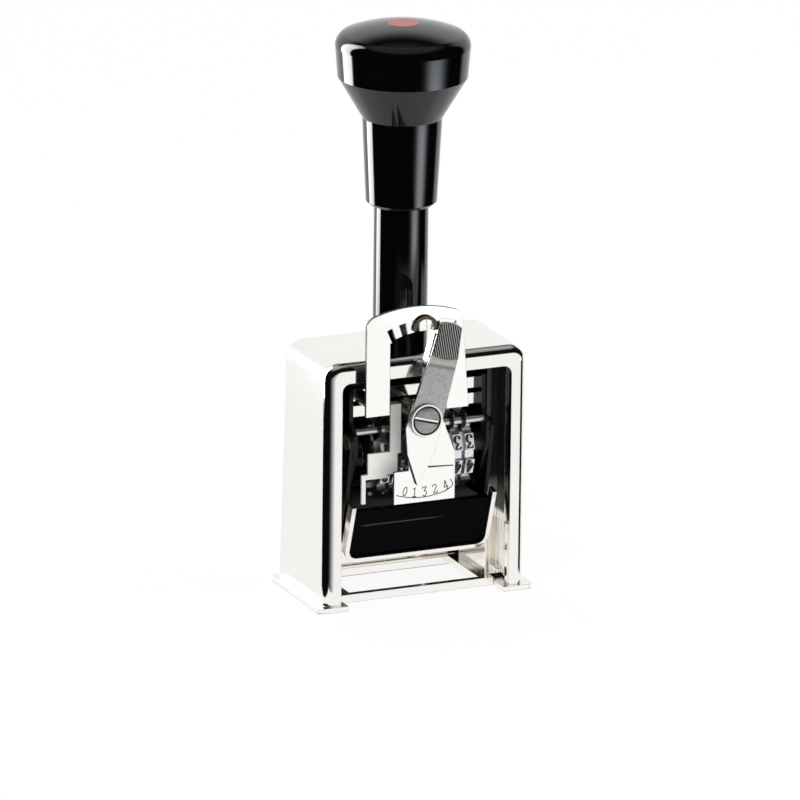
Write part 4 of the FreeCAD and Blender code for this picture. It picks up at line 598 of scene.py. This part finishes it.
# The low parts between the ridges and round the grip's border are painted near-black: painted
# shade in the grooves.
groove_shade = place.parts()[1].rise(lever_front * 1000 - 0.16, lever_front * 1000 - 0.04)
fill(shader, Base_Color=groove_shade.mix(wear.mix((0.36, 0.36, 0.34), (0.60, 0.60, 0.57)),
                                   (0.02, 0.02, 0.019)), Metallic=1.0,
     Roughness=0.25 + wear * 0.12, Normal=place.noise(6.0, 3).bump(0.01, 0.5))
shape = bmesh.new()
rows = []
for step in range(GRID + 1):
    share = step / GRID
    half = FOOT_HALF + (CROWN_HALF - FOOT_HALF) * share
    row = []
    for notch in range(GRID + 1):
        side = notch / (GRID // 2) - 1
        beside = FOOT_SHIFT * (1 - share) + side * (half - INSET)
        foot = (FOOT + 0.0001 - math.sqrt(FOOT_RADIUS ** 2 - (side * FOOT_HALF) ** 2)
                + math.sqrt(FOOT_RADIUS ** 2 - FOOT_HALF ** 2))
        crown = (CROWN - INSET + math.sqrt(CROWN_RADIUS ** 2 - (side * CROWN_HALF) ** 2)
                 - math.sqrt(CROWN_RADIUS ** 2 - CROWN_HALF ** 2))
        height = foot + (crown - foot) * share
        slant = abs(((beside * SLANT_ACROSS + height * SLANT_UP) / PITCH) % 1 - 0.5) * 2
        lift = RIDGE * min(max(slant * 2.2 - 0.45, 0), 1, (1 - abs(side)) / 0.1)
        if notch in (0, GRID) or step in (0, GRID):
            lift = -SUNK
        row.append(shape.verts.new((pivot.x + beside * math.cos(tilt) + height * math.sin(tilt),
                                    lever_front - lift,
                                    pivot.z - beside * math.sin(tilt) + height * math.cos(tilt))))
    rows.append(row)
skin(shape, rows)
add_piece("grip_serrations", shape, ridge_steel, "lever")

bronze, shader, place = new_finish("spring_bronze")
patina = place.noise(0.9, 5, 0.6)
fill(shader, Base_Color=patina.mix((0.16, 0.12, 0.076), (0.055, 0.043, 0.031)), Metallic=1.0,
     Roughness=0.2 + patina * 0.2, Normal=patina.bump(0.006, 0.5))
dress(bronze, "detent_spring")

# The ink pad: a felt block soaked in black ink, in a black enamelled tray under the wheels. A
# bent nickelled clip holds the tray on two arms that swing from pins in the side plates.
tray_enamel, shader, place = new_finish("black_tray_enamel")
dimple = place.noise(0.6, 3)
specks = place.noise(2.6, 5, 0.7).rise(0.6, 0.8)
across, along, up = place.parts()
# A thin lighter line across the tray's front, at 24 mm, is a painted reflection.
painted_reflection_line = (up - 24).size().rise(0.3, 0.1) * across.rise(9, 2) * across.rise(-19.8, -17)
coat = specks.mix((0.0008, 0.0008, 0.0008), (0.003, 0.0028, 0.0026))
fill(shader, Base_Color=(painted_reflection_line * 0.4).mix(coat, (0.16, 0.155, 0.15)), Specular_IOR_Level=0.025,
     Roughness=0.2 + specks * 0.2 + dimple * 0.05, Normal=dimple.bump(0.02, 0.5))
dress(tray_enamel, "ink_tray")
dress(nickel, "pad_clip")

wet_felt, shader, place = new_finish("inked_felt")
fibres = (place * (1.0, 0.35, 1.0)).noise(6.0, 6, 0.75)
soak = place.noise(0.25, 3)
fill(shader, Base_Color=(fibres * 0.6 + soak * 0.4).mix((0.004, 0.004, 0.005),
                                                        (0.030, 0.029, 0.032)),
     Roughness=0.55 + fibres * 0.3, Sheen_Weight=0.15,
     Normal=(fibres + place.noise(2.0, 4) * 0.5).bump(0.15, 0.8))
felt_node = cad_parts["ink_pad"]
felt = new_object("felt_pad", felt_node.data.copy())
felt.data.materials.clear()
middle = sum(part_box("ink_pad"), Vector()) / 2
EASED = 0.985
for vertex in felt.data.vertices:
    vertex.co = middle + (vertex.co - middle) * EASED
remesh = felt.modifiers.new("remesh", "REMESH")
remesh.mode, remesh.voxel_size, remesh.use_smooth_shade = "VOXEL", 0.0006, True
settle = felt.modifiers.new("settle", "SMOOTH")
settle.factor, settle.iterations = 0.6, 6
steps = bpy.context.evaluated_depsgraph_get()
pressed = bpy.data.meshes.new_from_object(felt.evaluated_get(steps))
felt.modifiers.clear()
felt.data = pressed
felt.data.materials.append(wet_felt)
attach(felt, "pad_carrier")
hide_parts("ink_pad")

# The table: a plain white top that shows the machine's soft shadow. It glows a little, so that
# it runs into the white behind it.
table_top, shader, place = new_finish("white_table")
fill(shader, Base_Color=place.noise(0.01, 2).mix((0.80, 0.80, 0.80), (0.82, 0.82, 0.82)),
     Roughness=0.9, Specular_IOR_Level=0.0)
glow = place.node("Emission", None, {"Color": (1, 1, 1, 1), "Strength": 1.03})
seen = place.node("LightPath")
both = seen.node("MixShader", None, {0: seen * 0.9, 1: Wire(shader.outputs[0]), 2: glow})
table_top.node_tree.links.new(both.socket, table_top.node_tree.nodes["Material Output"].inputs[0])
shape = bmesh.new()
bmesh.ops.create_grid(shape, x_segments=8, y_segments=8, size=6)
table = from_shape("table_top", shape, table_top)
table.visible_glossy = False

# The studio: white walls behind and beside the machine and a white patch in front of it, with
# dark gaps between them and a dim ceiling, as the polished plate and the plastic mirror them.
studio = bpy.data.worlds.new("studio")
bpy.context.scene.world = studio
studio.use_nodes = True
backdrop = studio.node_tree.nodes["Background"]
spot = studio.node_tree.nodes.new("ShaderNodeTexCoord")
x, y, z = Wire(spot.outputs["Generated"]).parts()
DEGREES = 57.2958
around = x.node("Math", {"operation": "ARCTAN2"}, {0: -1 * x, 1: -1 * y}) * DEGREES
above = z.node("Math", {"operation": "ARCSINE"}, {0: z}) * DEGREES
walls = (around.rise(147, 151) + around.rise(-94, -108)) * above.rise(47, 30)
light = walls.more(above.rise(45, 65) * 0.38).more(above.rise(-24, -44) * 0.85)
mirrored = light.mix((0.003, 0.003, 0.003), (0.97, 0.985, 1.0))
rays = x.node("LightPath")
glossy = Wire(rays.socket.node.outputs["Is Glossy Ray"])
shown = rays.mix(glossy.mix((0.75, 0.75, 0.75), mirrored), (1, 1, 1))
studio.node_tree.links.new(shown.socket, backdrop.inputs["Color"])


def light_card(name, corner, across, up, strength, sideways, upward):
    """A flat light that only reflections see. Its two profiles are stops from 0 to 1."""
    finish = bpy.data.materials.new(name)
    finish.use_nodes = True
    tree = finish.node_tree
    tree.nodes.remove(tree.nodes["Principled BSDF"])
    sheet = Wire(tree.nodes.new("ShaderNodeTexCoord").outputs["Generated"])
    side, _, level = sheet.parts()
    shares = [sheet.node("ValToRGB", {"stops": profile}, {0: place_on})
              for place_on, profile in ((side, sideways), (level, upward))]
    lit = sheet.node("Emission", None, {"Color": (0.985, 0.99, 1, 1), "Strength": strength})
    clear = sheet.node("BsdfTransparent")
    both = sheet.node("MixShader", None, {0: shares[0] * shares[1], 1: clear, 2: lit})
    tree.links.new(both.socket, tree.nodes["Material Output"].inputs[0])
    shape = bmesh.new()
    shape.faces.new([shape.verts.new(point)
                     for point in ((0, 0, 0), (1, 0, 0), (1, 0, 1), (0, 0, 1))])
    card = from_shape(name, shape, finish)
    across, up = Vector(across), Vector(up)
    card.matrix_world = (Matrix.Translation(corner)
                         @ Matrix((across, across.cross(up), up)).transposed().to_4x4())
    card.visible_camera = card.visible_diffuse = card.visible_shadow = False
    card.visible_transmission = False


def beside_machine(azimuth, distance, width):
    """The lower left corner and the width of a standing card that faces the machine."""
    angle = math.radians(azimuth)
    out = Vector((-math.sin(angle), -math.cos(angle), 0)) * distance
    along = Vector((math.cos(angle), -math.sin(angle), 0)) * width
    return out - along / 2, along


# The tall strip stands behind the machine on the left and the soft card in front of it on the
# right: they draw the bright lines down the knob, the sleeve and the stem. The low cards in
# front, on the right and under the machine are what the nickel near the table mirrors.
corner, along = beside_machine(135, 0.30, 0.158)
light_card("strip_card", corner - Vector((0, 0, 0.02)), along, (0, 0, 0.57), 13.0,
           [(0, 0), (0.12, 1), (0.9, 1), (1, 0)],
           [(0, 0.5), (0.03, 0.7), (0.07, 0.9), (0.12, 1), (0.7, 1), (1, 0.3)])
corner, along = beside_machine(-36, 0.30, 0.36)
light_card("front_card", corner, along, (0, 0, 0.10), 5.2,
           [(0, 0), (0.12, 0.02), (0.21, 0.11), (0.29, 0.38), (0.4, 0.85), (0.5, 1), (0.6, 0.85),
            (0.71, 0.38), (0.79, 0.11), (0.88, 0.02), (1, 0)],
           [(0, 1), (0.31, 1), (0.4, 0.75), (0.5, 0.4), (0.61, 0.22), (0.76, 0.1), (0.86, 0.05),
            (1, 0)])
light_card("low_front_card", (-0.085, -0.080, -0.03), (0.182, 0, 0), (0, 0, 0.110), 1.0,
           [(0, 0), (0.14, 0.10), (0.22, 0.27), (0.30, 0.45), (0.38, 0.68), (0.46, 1), (0.99, 1),
            (1, 0)], [(0, 1), (0.90, 1), (1, 0)])
light_card("low_right_card", (0.095, -0.028, -0.03), (0, 0.108, 0), (0, 0, 0.105), 1.0,
           [(0, 0), (0.02, 1), (1, 1)], [(0, 1), (0.92, 1), (1, 0)])
light_card("floor_card", (-0.045, -0.035, 0.0002), (0.090, 0, 0), (0, 0.070, 0), 1.0,
           [(0, 1), (1, 1)], [(0, 1), (1, 1)])

# The lamps: two broad soft lights above the machine, which no surface mirrors.
for name, energy, size, position in (("key_lamp", 9.0, 0.9, (-0.9, -1.1, 1.5)),
                                     ("fill_lamp", 3.5, 0.9, (1.2, -0.6, 1.1))):
    lamp = bpy.data.lights.new(name, "AREA")
    lamp.energy, lamp.size = energy, size
    holder = new_object(name, lamp)
    holder.location = position
    holder.rotation_mode = "QUATERNION"
    holder.rotation_quaternion = (Vector((0, 0, 0.06)) - holder.location).to_track_quat("-Z", "Y")
    holder.visible_glossy = holder.visible_camera = False

bpy.context.scene.view_settings.view_transform = "Standard"
